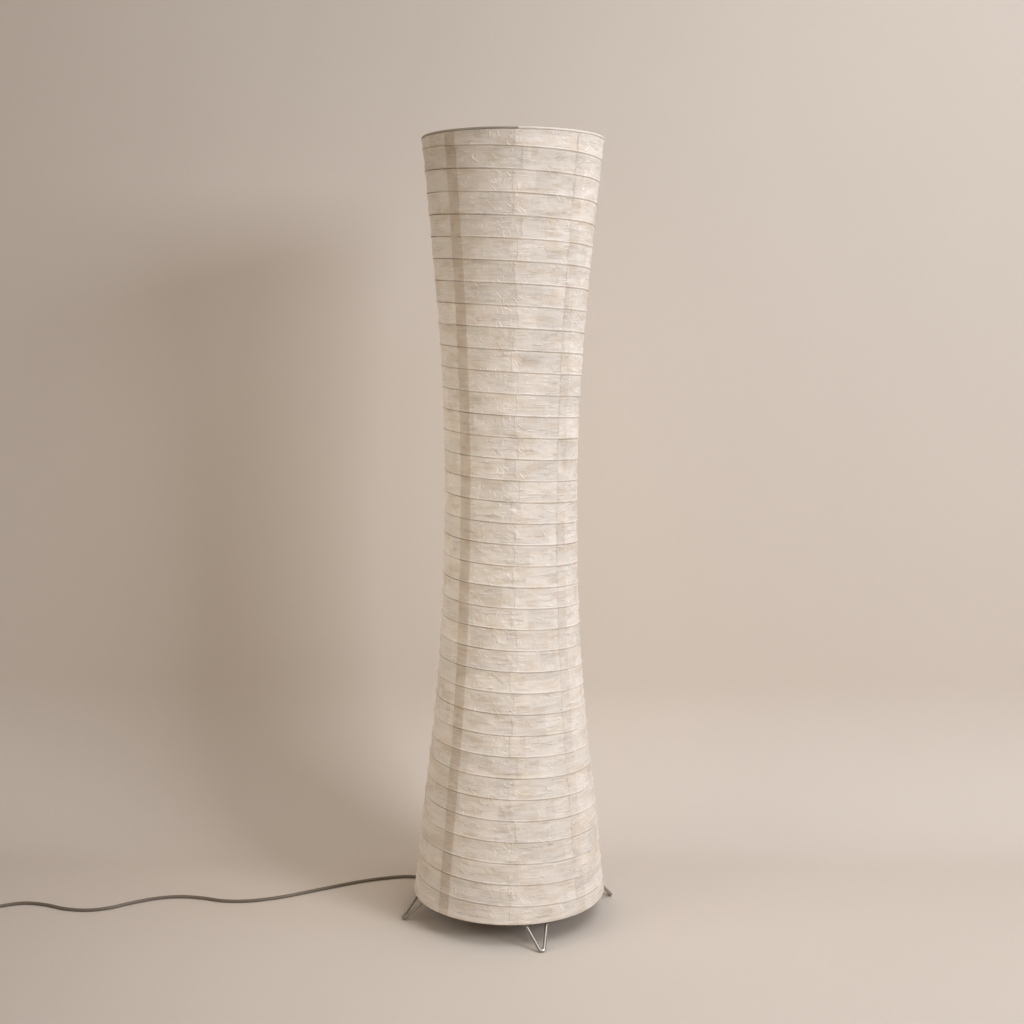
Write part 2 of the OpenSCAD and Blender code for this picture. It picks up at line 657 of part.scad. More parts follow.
module switch_button() color("Gray") at_switch() {
    translate([0, 0, button_z0])
        cylinder(h = switch_h + 3 - button_z0, r = button_d / 2, $fn = fine);
    translate([0, 0, switch_h + 3])
        cylinder(h = 1, r1 = button_d / 2, r2 = button_d / 2 - 1, $fn = fine);
}
module switch_reliefs() color(cord_grey) for (end = [0, 1])
    translate([switch_x, end == 0 ? relief_y0 : switch_y1 + relief_l, switch_cord_z])
    rotate([end == 0 ? -90 : 90, 0, 0]) {
        difference() {
            union() {
                cylinder(h = relief_l, r1 = cord_r + 0.8, r2 = cord_r + 2.2, $fn = 48);
                cylinder(h = relief_l + 6, r = cord_r + 1.2, $fn = 48);
            }
            translate([0, 0, 2]) cylinder(h = relief_l + 6, r = cord_r - 0.6, $fn = 48);
        }
    }

// Plug lying flat, its pins towards the back
module plug_body() color(cord_grey) {
    half = plug_w / 2;
    r = plug_t / 2;
    translate([plug_x, plug_y0, plug_axis_z]) rotate([-90, 0, 0])
        cylinder(h = plug_relief_l, r1 = cord_r + 0.8, r2 = r - 1.5, $fn = 48);
    translate([plug_x, plug_y1, plug_axis_z]) rotate([-90, 0, 0])
        linear_extrude(plug_l) {
            square([plug_w - plug_t, plug_t], center = true);
            for (s = [-1, 1]) translate([s * (half - r), 0]) circle(d = plug_t, $fn = 48);
        }
}
module plug_pins() color(steel) for (s = [-1, 1])
    translate([plug_x + s * pin_gap / 2, plug_y2, plug_axis_z]) rotate([-90, 0, 0]) {
        cylinder(h = pin_l - 1, d = pin_d, $fn = 48);
        translate([0, 0, pin_l - 1]) cylinder(h = 1, d1 = pin_d, d2 = pin_d - 1.6, $fn = 48);
    }

// Least gaps of the wound pieces, measured between turns on their points
function least(pts, skip) = min([for (i = [0 : len(pts) - 1 - skip])
    for (j = [i + skip : len(pts) - 1]) norm(pts[i] - pts[j])]);
echo(str("least gap in cord_coil: ", least(coil_path, coil_steps / 2) - cord_d, " mm"));
echo(str("least gap in rib_wire: ", least(rib_path, rib_steps / 2) - rib_d, " mm"));

base_ring();
foot(0);  // foot_front
foot(1);  // foot_right
foot(2);  // foot_back
foot(3);  // foot_left
spoke(0);  // spoke_front
spoke(1);  // spoke_right
spoke(2);  // spoke_back
spoke(3);  // spoke_left
holder_plate();
upright_socket(3);  // socket_left
upright_socket(1);  // socket_right
upright_lower(3);  // upright_lower_left
upright_lower(1);  // upright_lower_right
upright_upper(3);  // upright_upper_left
upright_upper(1);  // upright_upper_right
sleeve(3);  // sleeve_left
sleeve(1);  // sleeve_right
top_cross();
top_hoop();
bottom_hoop();
gore(0);  // gore_front
gore(1);  // gore_right
gore(2);  // gore_back
gore(3);  // gore_left
seam_tape(0);  // tape_front_left
seam_tape(1);  // tape_front_right
seam_tape(2);  // tape_back_right
seam_tape(3);  // tape_back_left
rib_wire();
top_hem();
bottom_hem();
nipple();
nipple_nut();
holder_cap();
holder_shell();
holder_insert();
screw_shell();
centre_contact();
terminal_screws();
clamp_ring();
bulb_glass();
bulb_cap();
bulb_insulator();
bulb_contact();
cord_relief();
cord_tail();
power_cord();
switch_lead();
cord_coil();
plug_lead();
coil_tie();
switch_base();
switch_cover();
switch_button();
switch_mechanism();
switch_screws();
switch_reliefs();
plug_body();
plug_pins();
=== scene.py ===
"""Looks of a paper lantern floor lamp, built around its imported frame, in metres."""

import json
import math

import bmesh
import bpy
import numpy as np
from bpy.props import FloatProperty, FloatVectorProperty, IntProperty, PointerProperty
from mathutils import Matrix, Vector

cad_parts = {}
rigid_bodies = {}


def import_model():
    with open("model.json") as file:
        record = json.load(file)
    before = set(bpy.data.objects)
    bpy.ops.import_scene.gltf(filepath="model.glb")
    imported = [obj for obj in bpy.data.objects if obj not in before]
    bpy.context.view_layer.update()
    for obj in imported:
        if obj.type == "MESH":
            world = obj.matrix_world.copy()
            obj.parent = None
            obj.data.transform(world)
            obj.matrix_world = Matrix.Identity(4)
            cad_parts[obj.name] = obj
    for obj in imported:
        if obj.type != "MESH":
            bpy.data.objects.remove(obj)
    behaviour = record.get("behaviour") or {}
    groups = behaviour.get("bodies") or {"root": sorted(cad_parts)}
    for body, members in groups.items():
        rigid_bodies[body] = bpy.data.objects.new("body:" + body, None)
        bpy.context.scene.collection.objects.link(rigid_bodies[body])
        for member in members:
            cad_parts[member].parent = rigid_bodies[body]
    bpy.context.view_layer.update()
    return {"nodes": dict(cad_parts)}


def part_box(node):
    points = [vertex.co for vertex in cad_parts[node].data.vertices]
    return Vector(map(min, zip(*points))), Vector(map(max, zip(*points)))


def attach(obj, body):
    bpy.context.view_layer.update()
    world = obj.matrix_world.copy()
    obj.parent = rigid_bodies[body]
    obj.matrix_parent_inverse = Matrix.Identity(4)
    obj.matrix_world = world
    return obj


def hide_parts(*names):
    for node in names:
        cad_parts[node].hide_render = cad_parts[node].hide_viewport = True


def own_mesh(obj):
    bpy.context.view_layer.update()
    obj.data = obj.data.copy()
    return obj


bl_info = {
    "name": "Paper Lantern Floor Lamp",
    "version": (1, 0, 0),
    "blender": (4, 5, 0),
    "location": "View3D > Sidebar > Lantern",
    "description": "Builds the looks of a paper lantern floor lamp around its packed frame",
    "category": "Object",
}

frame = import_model()

MM = 0.001
TAU = 2 * math.pi
GORES = ("front", "right", "back", "left")
STRIPS = ("front_left", "front_right", "back_right", "back_left")


def linear(hex_colour):
    """An sRGB hex colour as the linear values that shaders take."""
    parts = [int(hex_colour[i : i + 2], 16) / 255 for i in (1, 3, 5)]
    return tuple(c / 12.92 if c <= 0.04045 else ((c + 0.055) / 1.055) ** 2.4 for c in parts)


def length(name, description, millimetres):
    """A length in metres with its default given in millimetres."""
    return FloatProperty(
        name=name, description=description, default=millimetres * MM, unit="LENGTH", precision=4
    )


def colour(name, description, hex_colour):
    """A colour with its default given as an sRGB hex value."""
    return FloatVectorProperty(
        name=name, description=description, default=linear(hex_colour), subtype="COLOR",
        min=0, max=1,
    )  # fmt: skip


def slope(name, description, degrees):
    """An angle with its default given in degrees."""
    return FloatProperty(
        name=name, description=description, default=math.radians(degrees), subtype="ANGLE"
    )


# Settings


class ShadeSettings(bpy.types.PropertyGroup):
    """Sizes and colours of the paper shade."""

    total_height: length("Height", "Top of the top hoop above the floor", 1165)
    rim_height: length("Rim height", "Lower edge of the shade above the floor", 34)
    top_diameter: length("Top diameter", "Outer diameter at the top", 265)
    shoulder_height: length("Shoulder height", "Height of the shoulder", 920)
    shoulder_diameter: length("Shoulder diameter", "Outer diameter at the shoulder", 219)
    waist_height: length("Waist height", "Height of the waist", 660)
    waist_diameter: length("Waist diameter", "Outer diameter at the waist", 198)
    hip_height: length("Hip height", "Height of the hip", 240)
    hip_diameter: length("Hip diameter", "Outer diameter at the hip", 247)
    bottom_diameter: length("Bottom diameter", "Outer diameter at the lower edge", 292)
    top_lean: slope("Top lean", "Lean of the side at the top", 6)
    shoulder_lean: slope("Shoulder lean", "Lean of the side at the shoulder", 4.6)
    hip_lean: slope("Hip lean", "Lean of the side at the hip", 7.1)
    bottom_lean: slope("Bottom lean", "Lean of the side at the lower edge", 5.6)
    rib_pitch: length("Rib pitch", "Rise of the spiral rib for each turn", 30.8)
    rib_first: length("First rib", "Height of the first rib where it crosses the front", 1140.1)
    rib_diameter: length("Rib diameter", "Rib wire with the paper wrapped on it", 2)
    seam_azimuth: slope(
        "Seam azimuth", "Azimuth of the first glued overlap, from the front towards the right", -42
    )
    strip_width: length("Strip width", "Width of the glued overlap between two gores", 19.5)
    ridge_height: length("Ridge height", "How far the paper stands out over the rib wire", 0.75)
    sag: length("Sag", "How far the paper sinks in halfway between two ribs", 1.1)
    paper: colour("Paper", "Unbleached mulberry paper", "#E7DED4")
    paper_stain: colour("Stain", "Where the paper dried last", "#DACBB8")
    # The overlap colour is partly glued double paper and partly painted shade
    paper_shadow: colour("Overlap", "Two layers of the paper with glue between", "#BCA78F")
    # The rib line colour is partly the wire seen through the paper and partly painted shade under
    # each rib
    wire_and_rib_shade: colour("Wire line", "Rib wire seen through the paper", "#7F705C")


class CordSettings(bpy.types.PropertyGroup):
    """Sizes and colours of the mains cord and what is on it."""

    diameter: length("Diameter", "Outer diameter of the cord", 5)
    segments: IntProperty(
        name="Segments", description="Steps between two points of the cord's route", default=6
    )
    coil_turns: FloatProperty(
        name="Coil turns", description="Turns of the put-away coil", default=4.5
    )
    coil_radius: length("Coil radius", "Radius of the coil's outermost turn", 36)
    coil_step: length("Coil step", "Distance between neighbouring turns", 5.6)
    sheath: colour("Sheath", "Soft PVC sheath", "#786D5F")


class StageSettings(bpy.types.PropertyGroup):
    """Camera, lights and backdrop."""

    lens: FloatProperty(
        name="Lens",
        description="Focal length on a 36 mm sensor",
        default=50.04,
        subtype="DISTANCE_CAMERA",
    )
    camera_distance: length("Camera distance", "From the lamp's axis", 2114.8)
    camera_height: length("Camera height", "Above the floor", 896.7)
    backdrop: colour("Backdrop", "Seamless paper backdrop and floor", "#D8CEC3")
    world: colour("World", "Soft light from all round", "#FFECD6")


# Mesh and material helpers


def new_object(name, data):
    made = bpy.data.objects.new(name, data)
    bpy.context.scene.collection.objects.link(made)
    return made


def mesh_object(name, points, faces, material):
    """A smooth mesh of points in metres. Faces are tuples, or an array of quads."""
    mesh = bpy.data.meshes.new(name)
    mesh.from_pydata(np.asarray(points, float).tolist(), [], [tuple(f) for f in faces])
    mesh.validate()
    mesh.update()
    mesh.shade_smooth()
    mesh.materials.append(material)
    return new_object(name, mesh)


def grid_faces(rows, columns, closed=False):
    """Quads of a grid whose points run along each row in turn."""
    i, j = np.meshgrid(
        np.arange(rows - 1), np.arange(columns if closed else columns - 1), indexing="ij"
    )
    a = i * columns + j
    b = i * columns + (j + 1) % columns
    return np.stack([a, b, b + columns, a + columns], -1).reshape(-1, 4)


def set_attribute(mesh, name, kind, values):
    attribute = mesh.attributes.new(name, kind, "POINT")
    key = "vector" if kind == "FLOAT_VECTOR" else "value"
    attribute.data.foreach_set(key, np.asarray(values, np.float32).reshape(-1))


def feed(tree, node, inputs):
    """Sets or links a node's inputs. A node given as a value stands for its first output."""
    for key, value in inputs.items():
        if isinstance(value, bpy.types.Node):
            value = value.outputs[0]
        if isinstance(value, bpy.types.NodeSocket):
            tree.links.new(value, node.inputs[key])
        else:
            node.inputs[key].default_value = value


def add(tree, kind, inputs=(), **settings):
    """Adds a node with its settings and its inputs, given by name or in their order."""
    node = tree.nodes.new("ShaderNode" + kind)
    for key, value in settings.items():
        setattr(node, key, value)
    feed(tree, node, inputs if isinstance(inputs, dict) else dict(enumerate(inputs)))
    return node


def start_material(name, **shader):
    """A material with its Principled shader's sockets set to plain values."""
    material = bpy.data.materials.new(name)
    material.use_nodes = True
    surface = material.node_tree.nodes["Principled BSDF"]
    for key, value in shader.items():
        surface.inputs[key.replace("_", " ")].default_value = value
    return material, material.node_tree, surface


def opaque(rgb):
    return (rgb[0], rgb[1], rgb[2], 1)


def darker(rgb, keep):
    """A colour with a share of its light kept."""
    return tuple(c * keep for c in rgb)


# Patterns, each made of several nodes


# A map of values that eases in and out between its ends
EASED = {"interpolation_type": "SMOOTHSTEP"}


def sized(place, size_mm, detail=2.0, roughness=0.5):
    """What a noise needs for features of a real size in millimetres."""
    return {"Vector": place, "Scale": 1000 / size_mm, "Detail": detail, "Roughness": roughness}


def uneven(tree, place, size_mm, detail, middle, spread, roughness=0.5):
    """A value that wanders round its middle, in features of a real size."""
    wander = add(tree, "TexNoise", sized(place, size_mm, detail, roughness))
    return add(tree, "MapRange", (wander, 0.25, 0.75, middle - spread, middle + spread))


def patches(tree, place, size_mm, detail, low, high):
    """1 in patches where a noise is over high, 0 where it is under low."""
    wander = add(tree, "TexNoise", sized(place, size_mm, detail))
    return add(tree, "MapRange", (wander, low, high), **EASED)


def line_where(tree, value, middle, width):
    """1 where a value is at its middle, falling to 0 at a width on either side."""
    apart = add(tree, "Math", (value, middle), operation="SUBTRACT")
    off = add(tree, "Math", (apart,), operation="ABSOLUTE")
    return add(tree, "MapRange", (off, 0.0, width, 1.0, 0.0), **EASED)


def masked(tree, pattern, *masks):
    """A pattern that shows only where each of its masks lets it."""
    for mask in masks:
        pattern = add(tree, "Math", (pattern, mask), operation="MULTIPLY")
    return pattern


def summed(tree, start, parts):
    """A start value with a share of each part added in turn."""
    for part, share in parts:
        start = add(tree, "Math", (part, share, start), operation="MULTIPLY_ADD")
    return start


def stretched(tree, place, times):
    """Coordinates that draw a pattern longer along the ribs."""
    across_ribs = (1 / times, 1, 1)
    return add(tree, "VectorMath", (place, across_ribs), operation="MULTIPLY").outputs[0]


def strokes(tree, place, cell_mm, slant, spread, share):
    """Short straight creases, one in a share of the cells, each with a slant of its own."""
    shape = {"Vector": place, "Scale": 1000 / cell_mm}
    cells = add(tree, "TexVoronoi", shape, voronoi_dimensions="2D").outputs
    pick = add(tree, "SeparateColor", (cells["Color"],)).outputs
    away = add(tree, "VectorMath", (place, cells["Position"]), operation="SUBTRACT")
    angle = add(tree, "Math", (pick[0], spread, slant - spread / 2), operation="MULTIPLY_ADD")
    turned = add(
        tree, "VectorRotate", {"Vector": away, "Angle": angle}, rotation_type="Z_AXIS"
    )
    split = add(tree, "SeparateXYZ", (turned,)).outputs
    bend = uneven(tree, place, 9, 1, 0.0, 1.2 * MM)
    across = add(tree, "Math", (split[1], bend), operation="ADD")
    along = add(tree, "Math", (split[0],), operation="ABSOLUTE")
    half = cell_mm / 2 * MM
    tip = add(tree, "MapRange", (along, half * 0.5, half * 0.95, 1.0, 0.0), **EASED)
    picked = add(tree, "Math", (pick[1], share), operation="LESS_THAN")
    return masked(tree, line_where(tree, across, 0.0, 1.5 * MM), tip, picked)


# Materials


def clouded(name, light, dark, cloud, shine=None, grain=None, **shader):
    """A finish that drifts in clouds between two colours.

    cloud is the clouds' size in millimetres and detail. shine is the size and detail of marks
    in the roughness, its middle and its spread, grain the relief's size, detail and depth."""
    material, tree, surface = start_material(name, **shader)
    place = add(tree, "TexCoord").outputs["Object"]
    drift = add(tree, "TexNoise", sized(place, *cloud))
    tints = {0: drift, 6: opaque(light), 7: opaque(dark)}
    feed(tree, surface, {"Base Color": add(tree, "Mix", tints, data_type="RGBA").outputs[2]})
    if shine:
        feed(tree, surface, {"Roughness": uneven(tree, place, *shine)})
    if grain:
        size_mm, detail, depth_mm = grain
        height = add(tree, "TexNoise", sized(place, size_mm, detail))
        relief = add(tree, "Bump", {"Height": height, "Distance": depth_mm * MM})
        feed(tree, surface, {"Normal": relief})
    return material


def drawn_metal(name, hex_colour, roughness, grain_mm):
    """Drawn or turned metal: its colour drifts a little, with fine marks in the shine."""
    bright = linear(hex_colour)
    return clouded(
        name, bright, darker(bright, 0.85), cloud=(12 * grain_mm, 3),
        shine=(4 * grain_mm, 4, roughness, 0.3 * roughness), grain=(grain_mm, 3, 0.02),
        Metallic=1.0,
    )  # fmt: skip


def moulded(name, hex_colour, roughness, grain_mm, depth_mm=0.02, drift=0.06):
    """Moulded plastic, rubber or glaze: a fine grain and a slight drift of colour."""
    light = linear(hex_colour)
    return clouded(
        name, light, darker(light, 1 - drift), cloud=(25 * grain_mm, 3),
        shine=(8 * grain_mm, 3, roughness, 0.05), grain=(grain_mm, 2, depth_mm),
    )  # fmt: skip


def layered_paper(name):
    """The shade's paper in two layers with glue between, so a little darker."""
    paper = bpy.context.scene.lantern_shade.paper
    return clouded(
        name, paper, darker(paper, 0.84), cloud=(14, 3), shine=(5, 2, 0.82, 0.06),
        grain=(4, 3, 0.35),
    )  # fmt: skip


# The unstained paper's share of its colour
PLAIN_PAPER = 0.955


def shade_paper():
    """Handmade mulberry paper, wetted, glued and dried over wire: matt, fibrous, creased."""
    shade = bpy.context.scene.lantern_shade
    material, tree, surface = start_material("creased_mulberry_paper", Specular_IOR_Level=0.25)
    place = add(tree, "Attribute", attribute_name="sheet").outputs["Vector"]
    phase, tone, strip, overlap, joint, creased, thin = (
        add(tree, "Attribute", attribute_name=name).outputs["Fac"]
        for name in ("phase", "tone", "strip", "overlap", "joint", "creased", "thin")
    )
    # Clouds of 45 mm in the sheet, stains 16 mm high, bundles of laid fibres 3 mm high
    cloud = uneven(tree, place, 45, 3, 0.0, 0.5)
    stain = patches(tree, stretched(tree, place, 2.5), 16, 3, 0.47, 0.66)
    laid = uneven(tree, stretched(tree, place, 15), 3, 3, 0.0, 0.5, 0.68)
    # Long folds run where a drawn-out noise crosses its middle, a painted highlight edge over a
    # painted shade line, with a ridge and groove in the relief
    drawn_out = add(tree, "TexNoise", sized(stretched(tree, place, 14), 7, 3))
    some = patches(tree, place, 26, 1, 0.42, 0.56)
    folds = masked(tree, line_where(tree, drawn_out, 0.5, 0.02), some)
    fold_ridge_and_highlight = masked(tree, line_where(tree, drawn_out, 0.53, 0.025), some)
    # Crinkles are short straight creases, most of them slanting beside the joint, raised in the
    # relief and drawn lighter as a painted highlight
    beside = strokes(tree, place, 10, 1.05, 2.0, 0.75)
    beside = masked(tree, beside, creased, patches(tree, place, 22, 1, 0.4, 0.55))
    anywhere = strokes(tree, place, 17, 0.1, 2.0, 0.22)
    crinkles = add(tree, "Math", (beside, anywhere), operation="MAXIMUM")
    # The rib wire shows as a soft line, partly the wire seen through the paper and partly painted
    # shade under each rib, stronger in some places than in others
    turned = add(tree, "Math", (phase, 0.5), operation="ADD")
    turn = add(tree, "Math", (turned,), operation="FRACT")
    from_rib = add(tree, "Math", (turn, 0.5), operation="SUBTRACT")
    from_rib = add(tree, "Math", (from_rib, shade.rib_pitch / MM), operation="MULTIPLY")
    # The first turn starts behind the lamp, so no line runs above it
    started = add(tree, "MapRange", (phase, -0.7, -0.6), **EASED)
    strength = uneven(tree, stretched(tree, place, 9), 14, 2, 0.4, 0.34)
    # thin darkens the rib lines towards the left side, away from the key light: painted shade
    line = masked(tree, line_where(tree, from_rib, 0.5, 1.25), started, strength, thin)
    # The overlap's edges are torn, so they wander by half a millimetre
    torn = uneven(tree, place, 5, 2, 0.0, 0.5)
    half = shade.strip_width / 2 / MM
    off = add(tree, "Math", (strip,), operation="ABSOLUTE")
    off = add(tree, "Math", (off, 1 / MM, torn), operation="MULTIPLY_ADD")
    inside = add(tree, "MapRange", (off, half - 0.5, half + 0.5, 1.0, 0.0), **EASED)
    # overlap is each strip's darkness, partly glue and partly painted shade
    inside = masked(tree, inside, overlap, uneven(tree, place, 30, 2, 0.85, 0.25))
    # Where two sheets join, the right one lies on top and is drawn lighter near its edge, partly
    # its own tone and partly painted light
    past = add(tree, "Math", (joint, 1 / MM, torn), operation="MULTIPLY_ADD")
    edge = add(tree, "MapRange", (past, -0.35, 0.35), **EASED)
    top_sheet_tone_and_light = masked(tree, edge, add(tree, "MapRange", (past, 8, 45, 1.0, 0.0), **EASED))
    clouds = add(tree, "MapRange", (cloud, -0.3, 0.1), **EASED)
    # A painted highlight line along the top sheet's edge
    rim = masked(tree, line_where(tree, past, 1.0, 0.8), clouds)
    base = opaque(shade.paper)
    for share, tint in (
        (masked(tree, stain, 0.6), shade.paper_stain),
        (inside, shade.paper_shadow),
        (line, shade.wire_and_rib_shade),
    ):
        tints = {0: share, 6: base, 7: opaque(tint)}
        base = add(tree, "Mix", tints, data_type="RGBA").outputs[2]
    # The paper's own tones, with painted shade in the folds and painted highlights on the fold
    # ridges, the crinkles and the joint's edge
    brightness = summed(tree, PLAIN_PAPER, (
        (tone, 1.0), (cloud, 0.06), (laid, 0.125), (folds, -0.12), (fold_ridge_and_highlight, 0.08),
        (crinkles, 0.2), (top_sheet_tone_and_light, 0.05), (rim, 0.11),
    ))  # fmt: skip
    # Relief in millimetres
    fine = add(tree, "TexNoise", sized(place, 6, 3))
    relief = summed(tree, 0.0, (
        (laid, 0.16), (folds, -0.2), (fold_ridge_and_highlight, 0.2), (crinkles, 0.6), (edge, 0.3), (fine, 0.5),
    ))  # fmt: skip
    feed(tree, surface, {
        "Base Color": add(
            tree, "VectorMath", {0: base, "Scale": brightness}, operation="SCALE"
        ),
        "Roughness": uneven(tree, place, 9, 2, 0.82, 0.07),
        "Normal": add(tree, "Bump", {"Height": relief, "Distance": MM}),
    })  # fmt: skip
    return material


# Shade


def smooth_step(t):
    t = np.clip(t, 0, 1)
    return t * t * (3 - 2 * t)


def side_radius(z):
    """Outer radius of the shade at heights z: cubics through five stations."""
    s = bpy.context.scene.lantern_shade
    stations = [
        (s.rim_height, s.bottom_diameter / 2, -math.tan(s.bottom_lean)),
        (s.hip_height, s.hip_diameter / 2, -math.tan(s.hip_lean)),
        (s.waist_height, s.waist_diameter / 2, 0),
        (s.shoulder_height, s.shoulder_diameter / 2, math.tan(s.shoulder_lean)),
        (s.total_height, s.top_diameter / 2, math.tan(s.top_lean)),
    ]
    z = np.asarray(z, float)
    radius = np.zeros_like(z)
    for k, (low, high) in enumerate(zip(stations, stations[1:])):
        h = high[0] - low[0]
        t = (z - low[0]) / h
        cubic = (
            (2 * t**3 - 3 * t**2 + 1) * low[1]
            + (t**3 - 2 * t**2 + t) * h * low[2]
            + (3 * t**2 - 2 * t**3) * high[1]
            + (t**3 - t**2) * h * high[2]
        )
        radius = np.where((z >= low[0]) | (k == 0), cubic, radius)
    return radius


def wandering(azimuth, height, cells, step, seed):
    """Seeded smooth noise of -1 to 1 on the shade: cells round it, steps up it in metres."""
    rng = np.random.default_rng(seed)
    grid = rng.uniform(-1, 1, (int(1.3 / step) + 3, cells))
    u = (azimuth / TAU) % 1 * cells
    v = np.clip(height, 0, 1.29) / step
    i, j = np.floor(u).astype(int), np.floor(v).astype(int)
    f, g = smooth_step(u - i), smooth_step(v - j)
    i0, i1 = i % cells, (i + 1) % cells
    low = grid[j, i0] * (1 - f) + grid[j, i1] * f
    high = grid[j + 1, i0] * (1 - f) + grid[j + 1, i1] * f
    return low * (1 - g) + high * g


def at_side(azimuth, radius, z):
    """Points at azimuths counted from the front, -Y, towards the right, +X."""
    return np.stack([radius * np.sin(azimuth), -radius * np.cos(azimuth), z], -1)


def make_creases():
    """The larger creases as rows of azimuth, height, length, tilt, width, height and tint; the tint
    is painted highlight on crinkles and painted shade in folds.
    """
    shade = bpy.context.scene.lantern_shade
    rng = np.random.default_rng(20)
    rows = []
    middle = shade.seam_azimuth + TAU / 8
    # Kinds: how many to a band, azimuth and its spread, lengths, tilts, rises, tints of painted
    # light and shade
    kinds = (
        # Long folds along the ribs
        (2, 0.0, 0.8, (30, 120), (-4, 3), (-0.45, 0.45), (-0.07, 0.02)),
        # Crinkles beside the joint halfway between two overlaps
        (4, middle - 0.12, 0.16, (6, 20), (-105, -20), (0.4, 0.9), (0.0, 0.08)),
        # Slanting crinkles just past the overlap
        (3, shade.seam_azimuth + 0.19, 0.14, (8, 22), (20, 70), (0.35, 0.7), (0.0, 0.06)),
        # A few anywhere
        (2, 0.0, 0.8, (6, 18), (-80, 80), (0.25, 0.6), (-0.03, 0.05)),
    )
    for band in range(-1, 37):
        top = shade.rib_first - band * shade.rib_pitch
        for quarter in range(4):
            for count, centre, spread, lengths, tilts, rises, tints in kinds:
                for _ in range(count):
                    azimuth = quarter * TAU / 4 + centre + rng.uniform(-spread, spread)
                    drop = shade.rib_pitch * (azimuth / TAU + rng.uniform(0.12, 0.88))
                    size = rng.uniform(*lengths) * MM
                    tilt = math.radians(rng.uniform(*tilts))
                    width = rng.uniform(1.1, 1.8) * MM
                    rise = rng.uniform(*rises) * MM
                    rows.append((azimuth, top - drop, size, tilt, width, rise, rng.uniform(*tints)))
    return np.array(rows)


def crease_paper(azimuth, z, creases):
    """Height, and tint of painted light and shade, that the creases give to a grid of points of the
    shade.
    """
    rise, tint = np.zeros_like(z), np.zeros_like(z)
    row_z, column_a = z.mean(1), azimuth[0]
    for a0, z0, size, tilt, width, high, painted_light_and_shade in creases:
        radius = float(side_radius(np.array(z0)))
        reach = size / 2 + 3 * width
        apart = (column_a - a0 + math.pi) % TAU - math.pi
        columns = np.nonzero(np.abs(apart) * radius < reach)[0]
        rows = np.nonzero(np.abs(row_z - z0) < reach + 5 * MM)[0]
        if not len(columns) or not len(rows):
            continue
        part = np.ix_(rows, columns)
        x = ((azimuth[part] - a0 + math.pi) % TAU - math.pi) * radius
        y = z[part] - z0
        along = x * math.cos(tilt) + y * math.sin(tilt)
        across = y * math.cos(tilt) - x * math.sin(tilt)
        window = np.clip(1 - (2 * along / size) ** 2, 0, 1)
        line = np.exp(-((across / width) ** 2)) * window
        rise[part] += high * line
        tint[part] += painted_light_and_shade * line
    return rise, tint


def patch_tones(azimuth, band, across):
    """Each band between two ribs dries in patches, a little lighter or darker."""
    rng = np.random.default_rng(7)
    tones = np.zeros_like(azimuth)
    turn = (azimuth / TAU) % 1
    for k in range(int(band.min()), int(band.max()) + 1):
        edges = np.sort(rng.uniform(0, 1, 18))
        upper, lower = rng.uniform(-0.06, 0.06, (2, 19))
        upper[-1], lower[-1] = upper[0], lower[0]
        # Half of the patches are split along the band at some height
        split = np.where(rng.uniform(0, 1, 19) < 0.5, 1.0, rng.uniform(0.25, 0.75, 19))
        split[-1] = split[0]
        here = band == k
        patch = np.searchsorted(edges, turn[here])
        tones[here] = np.where(across[here] < split[patch], upper[patch], lower[patch])
    return tones


def joint_distance(azimuth, z, band):
    """Signed distance in metres from the sheet joint, which jumps from band to band."""
    shade = bpy.context.scene.lantern_shade
    jumps = np.random.default_rng(11).uniform(-7, 7, 60) * MM
    middle = shade.seam_azimuth + TAU / 8
    away = ((azimuth - middle + TAU / 8) % (TAU / 4) - TAU / 8) * side_radius(z)
    return away - jumps[band.astype(int) + 5] - 0.9 * MM * wandering(azimuth * 0, z, 8, 0.007, 10)


def creased_share(azimuth, z, joint):
    """How crinkled the paper is: most beside the joint and just past the overlap."""
    shade = bpy.context.scene.lantern_shade
    past = ((azimuth - shade.seam_azimuth + TAU / 8) % (TAU / 4) - TAU / 8) * side_radius(z)
    beside = np.exp(-(((joint + 14 * MM) / (20 * MM)) ** 2))
    after = np.exp(-(((past - 24 * MM) / (16 * MM)) ** 2))
    anywhere = 0.3 + 0.3 * wandering(azimuth, z, 20, 0.05, 12)
    return np.clip(beside + after + anywhere, 0, 1)


# Where the painted shade on the rib lines is darkest, on the left, and how far round the lamp that
# reaches
SHADIEST_AZIMUTH = math.radians(-62)
SHADE_REACH = math.radians(46)


def shaded_side_strength(azimuth):
    """How dark the rib lines are drawn: darkest at the left, a painted shade on the side turned
    from the light.
    """
    away = (azimuth - SHADIEST_AZIMUTH + math.pi) % TAU - math.pi
    return 0.62 + 1.15 * np.exp(-((away / SHADE_REACH) ** 2))


